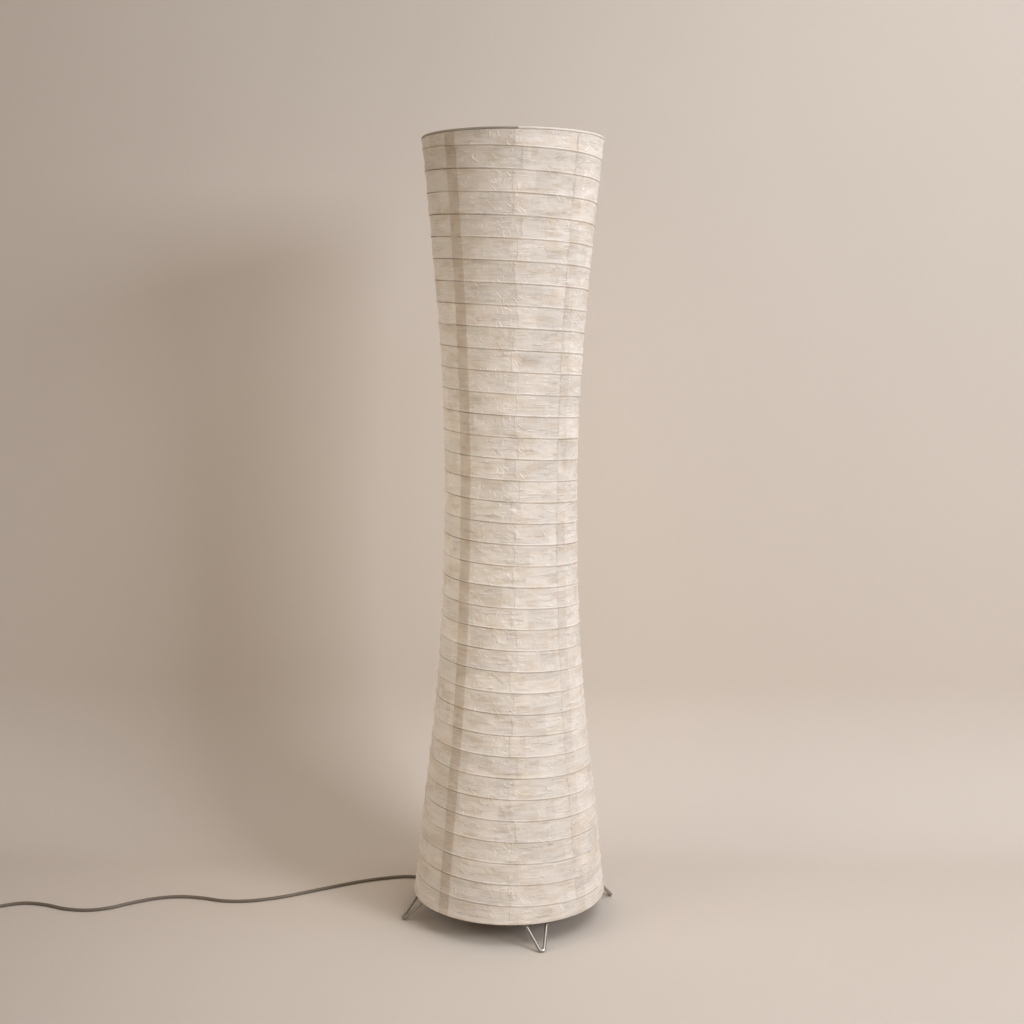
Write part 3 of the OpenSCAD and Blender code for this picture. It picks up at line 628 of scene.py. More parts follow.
def paper_relief(azimuth, z, creases):
    """How far the paper stands out from the plain side, and what its material reads."""
    shade = bpy.context.scene.lantern_shade
    phase = (shade.rib_first - z) / shade.rib_pitch - azimuth / TAU
    below = (phase - np.round(phase)) * shade.rib_pitch
    band = np.floor(phase)
    across = phase - band
    ends = smooth_step((z - shade.rim_height - 0.008) / 0.014) * smooth_step(
        (shade.total_height - z - 0.003) / 0.008
    )
    depth = 0.75 + 0.35 * wandering(azimuth, z, 22, 0.0308, 3)
    fold = -shade.sag * depth * (1 - np.abs(2 * across - 1) ** 1.6)
    ridge = shade.ridge_height * np.exp(-((below / (1.0 * MM)) ** 2)) * (phase > -0.65)
    groove = -0.3 * MM * np.exp(-(((below - 2.0 * MM) / (0.9 * MM)) ** 2))
    away = smooth_step((np.abs(below) - 0.8 * MM) / (4 * MM))
    cockle = (
        0.55 * MM * wandering(azimuth, z, 26, 0.0105, 4)
        + 0.30 * MM * wandering(azimuth, z, 64, 0.0052, 5)
        + 0.16 * MM * wandering(azimuth, z, 140, 0.0031, 6)
    )
    rise, tint = crease_paper(azimuth, z, creases)
    relief = (fold + groove + (cockle + rise) * away) * ends + ridge
    joint = joint_distance(azimuth, z, band)
    edge = smooth_step(joint / (1.6 * MM) + 0.5)
    relief = relief + 0.4 * MM * edge * np.exp(-np.clip(joint, 0, None) / (14 * MM)) * away
    reads = {
        "phase": phase,
        # The tone holds the patches' own tones and the creases' painted light and shade
        "tone": patch_tones(azimuth, band, across) + tint,
        "joint": joint,
        "creased": creased_share(azimuth, z, joint),
        # thin: how much darker the rib lines are drawn, a painted shade on the left side
        "thin": shaded_side_strength(azimuth),
    }
    return relief, reads


# Row offsets below each rib in millimetres, close together over the wire
ROW_OFFSETS = np.array(
    [0, 0.5, 1.0, 1.5, 2.1, 2.8, 3.8, 5.2, 6.8, 8.4, 10, 11.6, 13.2, 14.8, 16.4]
    + [18, 19.6, 21.2, 22.8, 24.4, 26, 27.4, 28.4, 29.2, 29.8, 30.3]
)
COLUMNS = 96
# How dark each gore's glued overlap is drawn, front left, front right, back right, back left:
# partly glued double paper, partly painted shade, darkest on the shaded front left and faint on the
# lit front right
OVERLAP_GLUE_AND_SHADE = (0.54, 0.17, 0.5, 0.5)


def paper_span():
    """Heights of the paper's lower and upper edge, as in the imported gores."""
    low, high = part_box("gore_front")
    return low.z, high.z


def gore_grid(index):
    """Azimuths and heights of one gore's points. Its rows follow the ribs."""
    shade = bpy.context.scene.lantern_shade
    low, high = paper_span()
    centre = shade.seam_azimuth + TAU / 4 * (index + 0.5)
    top = shade.rib_first - shade.rib_pitch * centre / TAU
    rows = np.concatenate(
        [top - k * shade.rib_pitch - ROW_OFFSETS * MM for k in range(-3, 40)]
    )
    rows = rows[(rows > low + 1 * MM) & (rows < high - 1 * MM)]
    rows = np.concatenate([[high], rows, [low]])
    # The overlap's half width is an angle that changes with the radius
    half = shade.strip_width / 2 / side_radius(rows)[:, None]
    across = np.linspace(0, 1, COLUMNS)[None, :]
    start = shade.seam_azimuth + TAU / 4 * index - half
    azimuth = start + (TAU / 4 + 2 * half) * across
    blend = smooth_step((rows - low) / 0.03) * smooth_step((high - rows) / 0.03)
    z = rows[:, None] - (blend[:, None] * shade.rib_pitch) * (azimuth - centre) / TAU
    return azimuth, z


def make_gore(index, material, creases):
    """One paper gore with its ribs, folds, crinkles and glued left edge."""
    shade = bpy.context.scene.lantern_shade
    azimuth, z = gore_grid(index)
    relief, reads = paper_relief(azimuth, z, creases)
    radius = side_radius(z)
    strip = ((azimuth - shade.seam_azimuth + TAU / 8) % (TAU / 4) - TAU / 8) * radius
    # The left edge lies on top of the neighbour's right edge
    on_top = smooth_step((shade.strip_width / 2 - strip) / (0.8 * MM))
    left = azimuth < shade.seam_azimuth + TAU / 4 * (index + 0.5)
    relief = relief + np.where(left, 0.3 * MM * on_top, -0.1 * MM)
    points = at_side(azimuth, radius + relief, z).reshape(-1, 3)
    faces = grid_faces(*z.shape)[:, ::-1]
    gore = mesh_object(f"paper_gore_{GORES[index]}", points, faces, material)
    # The sheet laid flat: metres along it, metres up, and a number of its own
    flat = np.stack([azimuth * radius, z, np.full_like(z, index)], -1)
    set_attribute(gore.data, "sheet", "FLOAT_VECTOR", flat)
    reads["strip"] = np.where(left, strip, 1.0)
    reads["overlap"] = np.full_like(z, OVERLAP_GLUE_AND_SHADE[index])
    for name, values in reads.items():
        set_attribute(gore.data, name, "FLOAT", values)
    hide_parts(f"gore_{GORES[index]}")
    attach(gore, "frame")
    fold_up(gore)


def fold_up(piece):
    """Gives the piece a mesh of its own."""
    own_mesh(piece)


def carried_sides(heading):
    """Sideways directions carried along a path, so that a tube round it never twists."""
    side = np.empty_like(heading)
    last = np.eye(3)[np.abs(heading[0]).argmin()]
    for k, ahead in enumerate(heading):
        last = last - ahead * (last @ ahead)
        last = last / np.linalg.norm(last)
        side[k] = last
    return side


def tube_mesh(path, radii, sides):
    """Points and quads of a round tube along a path of points, open at both ends."""
    path = np.asarray(path, float)
    radii = np.broadcast_to(np.asarray(radii, float), (len(path),))
    heading = np.gradient(path, axis=0)
    heading /= np.linalg.norm(heading, axis=1)[:, None]
    side = carried_sides(heading)
    top = np.cross(side, heading)
    angle = TAU * (np.arange(sides) + 0.5) / sides
    ring = (
        np.cos(angle)[None, :, None] * side[:, None, :]
        + np.sin(angle)[None, :, None] * top[:, None, :]
    )
    points = path[:, None, :] + ring * radii[:, None, None]
    return points.reshape(-1, 3), grid_faces(len(path), sides, closed=True)


def closed_tube(name, path, radii, sides, material):
    """A round tube with both ends filled."""
    points, faces = tube_mesh(path, radii, sides)
    last = len(points) - sides
    caps = [tuple(range(sides)), tuple(range(len(points) - 1, last - 1, -1))]
    return mesh_object(name, points, [tuple(f) for f in faces[:, ::-1]] + caps, material)


def outline(half_x, half_y, corner, count=64):
    """A flat rounded rectangle in millimetres, or a circle where all three are the same."""
    angle = TAU * (np.arange(count) + 0.5) / count
    heading = np.stack([np.cos(angle), np.sin(angle)], -1)
    return np.sign(heading) * (np.array([half_x, half_y]) - corner) + heading * corner


def circle(radius, count=64):
    return outline(radius, radius, radius, count)


def level(flat, centre, z):
    """A flat outline laid level at a height, all in millimetres."""
    return np.column_stack([flat[:, 0] + centre[0], flat[:, 1] + centre[1], np.full(len(flat), z)])


def facing_back(flat, centre, y):
    """A flat outline stood up across Y, all in millimetres."""
    return np.column_stack([flat[:, 0] + centre[0], np.full(len(flat), y), flat[:, 1] + centre[1]])


def skin(name, rows_mm, material, node, slot, body="frame", ring=False):
    """A closed piece through rows of closed outlines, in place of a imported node.

    The first and last row are filled, or joined to each other in a ring."""
    rows = np.asarray(rows_mm, float) * MM
    count, sides = rows.shape[:2]
    faces = grid_faces(count + ring, sides, closed=True) % (count * sides)
    faces = [tuple(f) for f in faces]
    if not ring:
        faces += [tuple(range(sides)), tuple(range((count - 1) * sides, count * sides))]
    piece = mesh_object(name, rows.reshape(-1, 3), faces, material)
    shell = bmesh.new()
    shell.from_mesh(piece.data)
    bmesh.ops.recalc_face_normals(shell, faces=shell.faces)
    shell.to_mesh(piece.data)
    shell.free()
    piece.data.set_sharp_from_angle(angle=math.radians(40))
    if node:
        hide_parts(node)
    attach(piece, body)
    return piece


# Cord


ROUTE_MM = [
    (0, 0, 46), (0, 0, 38), (0, 0, 30), (-3, 2, 17), (-11, 8, 7), (-24, 18, 3),
    (-50, 38, 2.5), (-78, 61, 2.5), (-105, 85, 2.5), (-132, 106, 2.5), (-164, 116, 2.5),
    (-204, 108, 2.5), (-247, 91, 2.5), (-298, 63, 2.5), (-349, 34, 2.5), (-380, 21, 2.5),
    (-410, 13, 2.5), (-446, 13, 2.5), (-482, 24, 2.5), (-517, 29, 2.5), (-553, 22, 2.5),
    (-589, 3, 2.5), (-617, -16, 2.5), (-648, -25, 2.5), (-684, -20, 2.5), (-719, -5, 2.5),
    (-754, 1, 2.5), (-787, -11, 2.5), (-812, -29, 3), (-826, -50, 4.5), (-830, -70, 6),
    (-830, -84, 6),
]  # fmt: skip
SWITCH_END_Y = -0.196
LEAD = 0.040
COIL_BASE = 0.0038
PLUG_AXIS = 0.00685


def smooth_path(points, steps):
    """Points on the smooth curve through the given ones."""
    points = np.asarray(points, float)
    padded = np.vstack([2 * points[0] - points[1], points, 2 * points[-1] - points[-2]])
    made = []
    for i in range(len(points) - 1):
        a, b, c, d = padded[i : i + 4]
        for t in np.arange(steps) / steps:
            bend = (2 * a - 5 * b + 4 * c - d) * t**2 + (3 * b - a - 3 * c + d) * t**3
            made.append(0.5 * (2 * b + (c - a) * t + bend))
    return np.array(made + [points[-1]])


def straight_lead(start, end):
    """Points between two others along Y, easing from the height of one to the other's."""
    s = np.linspace(0, 1, 13)[1:-1]
    height = start[2] + (end[2] - start[2]) * smooth_step((s - 0.2) / 0.6)
    return np.column_stack([np.full_like(s, start[0]), start[1] + (end[1] - start[1]) * s, height])


def cord_path():
    """The cord's whole centreline, from the lampholder's relief to the plug."""
    cord = bpy.context.scene.lantern_cord
    floor_run = smooth_path(np.array(ROUTE_MM) * MM, cord.segments)
    x, _, switch_z = floor_run[-1]
    through = [(x, y, switch_z) for y in np.linspace(-0.09, SWITCH_END_Y, 12)]
    centre = (x - cord.coil_radius, SWITCH_END_Y - LEAD)
    half = cord.coil_turns / 2
    t = np.linspace(0, cord.coil_turns, int(cord.coil_turns * 48) + 1)
    radius = cord.coil_radius - (half - np.abs(t - half)) * cord.coil_step
    climb = smooth_step((t - half + 0.25) / 0.5)
    coil = np.column_stack([
        centre[0] + radius * np.cos(-TAU * t),
        centre[1] + radius * np.sin(-TAU * t),
        COIL_BASE + cord.coil_step * climb,
    ])  # fmt: skip
    plug_y = coil[-1][1] + LEAD
    lead_in = straight_lead((x, SWITCH_END_Y, switch_z), coil[0])
    lead_out = straight_lead(coil[-1], (coil[-1][0], plug_y, PLUG_AXIS))
    end = [(coil[-1][0], plug_y, PLUG_AXIS), (coil[-1][0], plug_y + 0.004, PLUG_AXIS)]
    return np.vstack([floor_run, through, lead_in, coil, lead_out, end])


# Operators


class LANTERN_OT_camera(bpy.types.Operator):
    """Place the camera at the photograph's angle"""

    bl_idname = "lantern.camera"
    bl_label = "Camera"

    # Fitted turn of the camera: down, to the right and about its own axis
    pitch = 0.1302691
    yaw = 0.0007063
    roll = 0.0050513

    def execute(self, context):
        stage = context.scene.lantern_stage
        data = bpy.data.cameras.new("camera")
        data.lens = stage.lens
        data.sensor_width = 36
        camera = new_object("camera", data)
        forward = Vector(
            (
                math.sin(self.yaw) * math.cos(self.pitch),
                math.cos(self.yaw) * math.cos(self.pitch),
                -math.sin(self.pitch),
            )
        )
        right = Vector((math.cos(self.yaw), -math.sin(self.yaw), 0))
        up = right.cross(forward)
        turned_right = right * math.cos(self.roll) + up * math.sin(self.roll)
        turned_up = up * math.cos(self.roll) - right * math.sin(self.roll)
        axes = Matrix((turned_right, turned_up, -forward)).transposed()
        place = Vector((0, -stage.camera_distance, stage.camera_height))
        camera.matrix_world = Matrix.Translation(place) @ axes.to_4x4()
        context.scene.camera = camera
        return {"FINISHED"}


ON_CORD = (
    "rounded_switch_cover", "dished_button", "ribbed_relief_in", "ribbed_relief_out",
    "grooved_plug", "wound_tie", "twisted_tie_ends",
)  # fmt: skip
NODES_ON_CORD = ("switch_base", "switch_mechanism", "switch_screws", "plug_pins")


class LANTERN_OT_cord(bpy.types.Operator):
    """Lay the cord on the floor, through the foot switch and into its coil"""

    bl_idname = "lantern.cord"
    bl_label = "Mains cord"

    def execute(self, context):
        settings = context.scene.lantern_cord
        path = cord_path()
        # PVC sheath over two cores, extruded: satin, with a faint drawn grain
        material = clouded(
            "extruded_pvc_sheath", settings.sheath, darker(settings.sheath, 0.8), cloud=(25, 3),
            shine=(6, 2, 0.45, 0.08), grain=(1.2, 2, 0.03),
        )  # fmt: skip
        cord = closed_tube("mains_cord", path, settings.diameter / 2, 14, material)
        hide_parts("power_cord", "switch_lead", "cord_coil", "plug_lead")
        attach(cord, "frame")
        on_cord = [bpy.data.objects[name] for name in ON_CORD]
        on_cord += [frame["nodes"][name] for name in NODES_ON_CORD]
        return {"FINISHED"}


class LANTERN_OT_shade(bpy.types.Operator):
    """Make the paper gores, the rib wire, the inner strips and the hems"""

    bl_idname = "lantern.shade"
    bl_label = "Paper shade"

    def execute(self, context):
        shade = context.scene.lantern_shade
        self.rib_wire(shade)
        paper = shade_paper()
        creases = make_creases()
        for index in range(4):
            make_gore(index, paper, creases)
        self.inner_strips(shade)
        self.hems(shade)
        return {"FINISHED"}

    def rib_wire(self, shade):
        bottom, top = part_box("rib_wire")
        turns = np.arange(-1.0, 38.0, 1 / 72)
        height = shade.rib_first - turns * shade.rib_pitch
        # Both ends run level for a quarter turn
        low, high = bottom.z + 1 * MM, top.z - 1 * MM
        quarter = shade.rib_pitch / 4
        keep = (height > low - quarter) & (height < high + quarter)
        turns, height = turns[keep], height[keep]
        z = np.clip(height, low, high)
        sunk = 0.5 * MM + 1.0 * MM * smooth_step(np.abs(height - z) / (2 * MM))
        path = at_side(turns * TAU, side_radius(z) - sunk, z)
        # Wire wrapped in paper and paste: matt, a little darker than the sheets
        material = clouded(
            "paper_wrapped_wire", linear("#CBBFA9"), linear("#A6987F"), cloud=(6, 2),
            grain=(1.5, 2, 0.05), Roughness=0.75,
        )  # fmt: skip
        wire = closed_tube("spiral_rib_wire", path, shade.rib_diameter / 2 * 0.9, 8, material)
        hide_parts("rib_wire")
        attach(wire, "frame")
        fold_up(wire)

    def inner_strips(self, shade):
        """Paper tape glued inside over each seam, a closed thin strip."""
        material = layered_paper("glued_paper_tape")
        for index, name in enumerate(STRIPS):
            low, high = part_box(f"tape_{name}")
            rows = np.linspace(low.z, high.z, 260)
            half = shade.strip_width / 2 / side_radius(rows)[:, None]
            across = np.linspace(-1, 1, 9)[None, :]
            azimuth = shade.seam_azimuth + TAU / 4 * index + half * across
            z = np.repeat(rows[:, None], 9, 1)
            phase = (shade.rib_first - z) / shade.rib_pitch - azimuth / TAU
            sink = 0.5 * MM * np.abs(2 * (phase - np.floor(phase)) - 1)
            outer = side_radius(z) - 1.5 * MM - 0.5 * MM + sink
            piece = self.thin_solid(
                f"inner_strip_{name}", azimuth, z, outer, 0.3 * MM, material
            )
            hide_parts(f"tape_{name}")
            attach(piece, "frame")
            fold_up(piece)

    @staticmethod
    def thin_solid(name, azimuth, z, outer, thick, material, closed=False):
        """A closed solid between an outer grid of points and one a thickness inside."""
        rows, columns = z.shape
        outside = at_side(azimuth, outer, z).reshape(-1, 3)
        inside = at_side(azimuth, outer - thick, z).reshape(-1, 3)
        count = rows * columns
        skin = grid_faces(rows, columns, closed)
        faces = [tuple(f) for f in skin[:, ::-1]] + [tuple(f + count) for f in skin]
        if closed:
            rim = [
                (r * columns + c, r * columns + (c + 1) % columns)
                for r in (0, rows - 1)
                for c in range(columns)
            ]
        else:
            loop = (
                list(range(columns))
                + [r * columns + columns - 1 for r in range(1, rows)]
                + list(range(count - 2, count - columns - 1, -1))
                + [r * columns for r in range(rows - 2, 0, -1)]
            )
            rim = list(zip(loop, loop[1:] + loop[:1]))
        for k, (a, b) in enumerate(rim):
            lower = closed and k >= columns
            quad = (a, b, b + count, a + count)
            faces.append(quad[::-1] if lower else quad)
        return mesh_object(name, np.vstack([outside, inside]), faces, material)

    def hems(self, shade):
        """The paper folded over the lower hoop, over the top hoop and inside the top edge."""
        material = layered_paper("folded_mulberry_paper")
        low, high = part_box("bottom_hem")
        columns = 360
        # The ends of the rows meet at the back
        turns = math.pi + np.linspace(0, TAU, columns, endpoint=False)
        rows = np.linspace(high.z, low.z + 0.4 * MM, 14)
        azimuth, z = np.meshgrid(turns, rows)
        wave = 0.25 * MM * wandering(azimuth, z, 90, 0.004, 31)
        uneven = 2.2 * MM * wandering(azimuth, z * 0, 40, 0.01, 32)
        top_share = ((z - low.z) / (high.z - low.z)) ** 2
        z = z + uneven * top_share - 2.2 * MM * top_share
        round_over = np.clip(1 - (z - low.z) / (2.2 * MM), 0, 1) ** 2 * 0.9 * MM
        # The upper edge is pasted down, so it stands out least
        stands_out = 0.45 * MM + 0.5 * MM * smooth_step((high.z - z) / (6 * MM))
        outer = side_radius(z) + stands_out + wave * (1 - top_share) - round_over
        hem = self.thin_solid(
            "lower_hem", azimuth, z, outer, 0.4 * MM, bpy.data.materials["creased_mulberry_paper"],
            closed=True,
        )
        self.mark_hem(shade, hem.data, azimuth, z)
        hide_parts("bottom_hem")
        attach(hem, "shade_bottom")
        low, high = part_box("top_hem")
        rows = np.linspace(high.z, low.z, 10)
        azimuth, z = np.meshgrid(turns, rows)
        wave = 0.15 * MM * wandering(azimuth, z, 70, 0.005, 33)
        outer = side_radius(z) - 1.7 * MM + wave
        hem = self.thin_solid("upper_hem", azimuth, z, outer, 0.3 * MM, material, closed=True)
        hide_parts("top_hem")
        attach(hem, "frame")
        self.top_fold(material)

    @staticmethod
    def mark_hem(shade, mesh, azimuth, z):
        """What the shade's paper material reads, for both skins of the lower hem."""
        radius = side_radius(z)
        from_seam = azimuth - shade.seam_azimuth + TAU / 8
        joint = joint_distance(azimuth, z, z * 0 + 33)
        quarter = (from_seam % TAU // (TAU / 4)).astype(int)
        reads = {
            "phase": z * 0 + 33.5,
            "tone": 0.015 * wandering(azimuth, z, 24, 0.02, 34),
            "joint": joint,
            "creased": z * 0 + 0.5,
            "thin": z * 0,
            "strip": (from_seam % (TAU / 4) - TAU / 8) * radius,
            # The overlaps' glue and painted shade, a little fainter on the hem
            "overlap": np.array(OVERLAP_GLUE_AND_SHADE)[quarter] * 0.8,
        }
        flat = np.stack([azimuth * radius, z, np.full_like(z, 5)], -1)
        set_attribute(mesh, "sheet", "FLOAT_VECTOR", np.stack([flat, flat]))
        for name, values in reads.items():
            set_attribute(mesh, name, "FLOAT", np.stack([values, values]))

    @staticmethod
    def top_fold(material):
        """Round the right half the paper is folded over the top hoop's wire."""
        low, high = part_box("top_hoop")
        wire = (high.z - low.z) / 2
        azimuth = np.radians(np.linspace(3, 187, 260))
        z = np.full_like(azimuth, low.z + wire)
        path = at_side(azimuth, high.x - wire, z)
        loose = 0.3 * MM + 0.12 * MM * wandering(azimuth, z, 60, 0.01, 35)
        # Both ends are torn thin
        torn = smooth_step((azimuth - azimuth[0]) / 0.12) * smooth_step(
            (azimuth[-1] - azimuth) / 0.12
        )
        fold = closed_tube("top_fold", path, wire + loose * torn + 0.04 * MM, 16, material)
        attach(fold, "frame")


class LANTERN_OT_metal(bpy.types.Operator):
    """Finish the wire frame, the hoops and the small metal pieces"""

    bl_idname = "lantern.metal"
    bl_label = "Metal pieces"

    def execute(self, context):
        nodes = frame["nodes"]
        # Zinc-plated drawn steel wire: mid grey, soft shine
        zinc = drawn_metal("zinc_plated_drawn_wire", "#B4B2AE", 0.38, 1.2)
        # Nickel-plated steel wire: bright, a little warm
        nickel = drawn_metal("nickel_plated_wire", "#B3AFA8", 0.22, 1.0)
        # Plain drawn wire of the hoops: duller grey
        hoop = drawn_metal("plain_drawn_wire", "#C2BBB1", 0.55, 1.0)
        # Turned brass: warm, slightly dull
        brass = drawn_metal("turned_brass", "#C8A35A", 0.3, 0.6)
        # Pressed aluminium of the bulb's cap
        aluminium = drawn_metal("pressed_aluminium", "#CFCFCD", 0.28, 0.8)
        by_prefix = [
            (("foot_", "plug_pins"), nickel),
            (("base_ring", "spoke_", "holder_plate", "socket_", "upright_"), zinc),
            (("sleeve_", "top_cross", "switch_screws"), zinc),
            (("top_hoop", "bottom_hoop"), hoop),
            (("nipple", "screw_shell", "centre_contact", "terminal_screws", "bulb_contact"), brass),
            (("bulb_cap",), aluminium),
        ]
        for prefixes, material in by_prefix:
            for name, node in nodes.items():
                if name.startswith(prefixes):
                    dress(node, material)
        return {"FINISHED"}


def dress(node, material):
    """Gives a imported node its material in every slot."""
    if not node.data.materials:
        node.data.materials.append(material)
    for i in range(len(node.data.materials)):
        node.data.materials[i] = material


class LANTERN_OT_holder(bpy.types.Operator):
    """Finish the lampholder and the bulb"""

    bl_idname = "lantern.holder"
    bl_label = "Lampholder and bulb"

    def execute(self, context):
        nodes = frame["nodes"]
        # Thermoset mouldings: white, satin
        white = moulded("moulded_white_thermoset", "#E6E3DC", 0.38, 0.8)
        dress(nodes["holder_cap"], white)
        dress(nodes["holder_shell"], white)
        # Glazed porcelain insert
        dress(nodes["holder_insert"], moulded("glazed_porcelain", "#EEEAE2", 0.18, 1.5))
        # Fused black glass under the cap
        dress(nodes["bulb_insulator"], moulded("fused_black_glass", "#1C1B1D", 0.15, 1.0))
        dress(nodes["cord_tail"], bpy.data.materials["extruded_pvc_sheath"])
        self.bulb()
        self.clamp_ring(white)
        self.relief()
        return {"FINISHED"}

    @staticmethod
    def bulb():
        """A pear-shaped bulb with a rolled screw thread on its cap."""
        low, high = (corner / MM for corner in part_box("bulb_cap"))
        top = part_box("bulb_glass")[1].z / MM
        globe, neck = 30, 12.2
        middle = top - globe
        # The neck eases out to the globe, which it meets 40 degrees under the middle
        under = 40
        meet = math.radians(under)
        foot = (neck, high.z - 6)
        join = (globe * math.cos(meet), middle - globe * math.sin(meet))
        t = np.linspace(0, 1, 26)
        rise = join[1] - foot[1]
        radius = (
            (2 * t**3 - 3 * t**2 + 1) * foot[0]
            + (3 * t**2 - 2 * t**3) * join[0]
            + (t**3 - t**2) * rise * math.tan(meet)
        )
        rows = [level(circle(r), (0, 0), foot[1] + rise * k) for r, k in zip(radius, t)]
        for up in np.radians(np.linspace(-under, 89.5, 36)[1:]):
            rows.append(level(circle(globe * math.cos(up)), (0, 0), middle + globe * math.sin(up)))
        # Opal glass: frosted inside, so milky
        opal = moulded("opal_glass", "#F3EFE6", 0.22, 3.0, 0.01, 0.02)
        skin("opal_bulb", rows, opal, "bulb_glass", "frosted_glass", "bulb")
        pitch, thread_radius = 3.6, 12.45
        turn = (np.arange(64) + 0.5) / 64
        rows = []
        for z in np.linspace(low.z, high.z, 90):
            fade = min(1, (z - low.z) / 2.5, (high.z - z) / 5)
            ridge = np.cos(TAU * ((z - low.z) / pitch - turn)) * 0.5 * fade
            flat = circle(1) * (thread_radius + ridge)[:, None]
            rows.append(level(flat, (0, 0), z))
        aluminium = bpy.data.materials["pressed_aluminium"]
        skin("threaded_cap", rows, aluminium, "bulb_cap", "bulb_cap_metal", "bulb")

    @staticmethod
    def clamp_ring(material):
        """A ring nut with a flange and 30 grip ribs."""
        low, high = (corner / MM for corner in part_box("clamp_ring"))
        angle = TAU * (np.arange(240) + 0.5) / 240
        grip = 0.45 * np.clip(np.cos(30 * angle) * 2, -1, 1)
        wall = (18, 22.3)
        profile = [
            (wall[0], low.z + 0.4, 0), (wall[0], high.z - 0.4, 0), (wall[0] + 0.4, high.z, 0),
            (wall[1] - 0.5, high.z, 0), (wall[1] - 0.1, high.z - 0.5, 0),
            (wall[1], high.z - 1.2, 1), (wall[1], low.z + 2.8, 1), (wall[1] + 0.2, low.z + 2.2, 0),
            (24.6, low.z + 1.9, 0), (25, low.z + 1.5, 0), (25, low.z + 0.5, 0),
            (24.6, low.z, 0), (wall[0] + 0.4, low.z, 0),
        ]  # fmt: skip
        rows = [
            level(circle(1, 240) * (r + share * grip)[:, None], (0, 0), z)
            for r, z, share in profile
        ]
        name, slot = "clamp_ring", "white_moulding"
        skin("ribbed_clamp_ring", rows, material, name, slot, body=name, ring=True)

    @staticmethod
    def relief():
        """The ribbed rubber sleeve that keeps the cord from kinking under the lampholder."""
        rubber = bpy.data.materials["moulded_rubber"]
        low, high = (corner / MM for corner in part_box("cord_relief"))
        neck = high.z - 8.4
        rows = [level(circle(r), (0, 0), z) for z, r in ribbed(low.z, neck, 3.5, 5.8, 7)]
        for z, r in ((neck + 0.2, 6.6), (neck + 0.7, 7), (high.z - 0.5, 7), (high.z, 6.5)):
            rows.append(level(circle(r), (0, 0), z))
        skin("ribbed_cord_relief", rows, rubber, "cord_relief", "relief_rubber")


def ribbed(start, end, thin, thick, ribs):
    """Places and radii of a tapered sleeve with grooves between its ribs, in millimetres."""
    sign = 1 if end > start else -1
    step = abs(end - start) / ribs
    made = [(start, thin - 0.5), (start + 0.3 * sign, thin)]
    for k in range(ribs):
        at = start + sign * step * k
        radius = thin + (thick - thin) * (k + 0.5) / ribs
        for share, cut in ((0.15, 0), (0.6, 0), (0.68, 0.25), (0.78, 0.7), (0.9, 0.7), (0.98, 0.2)):
            made.append((at + sign * step * share, radius - cut))
    return made


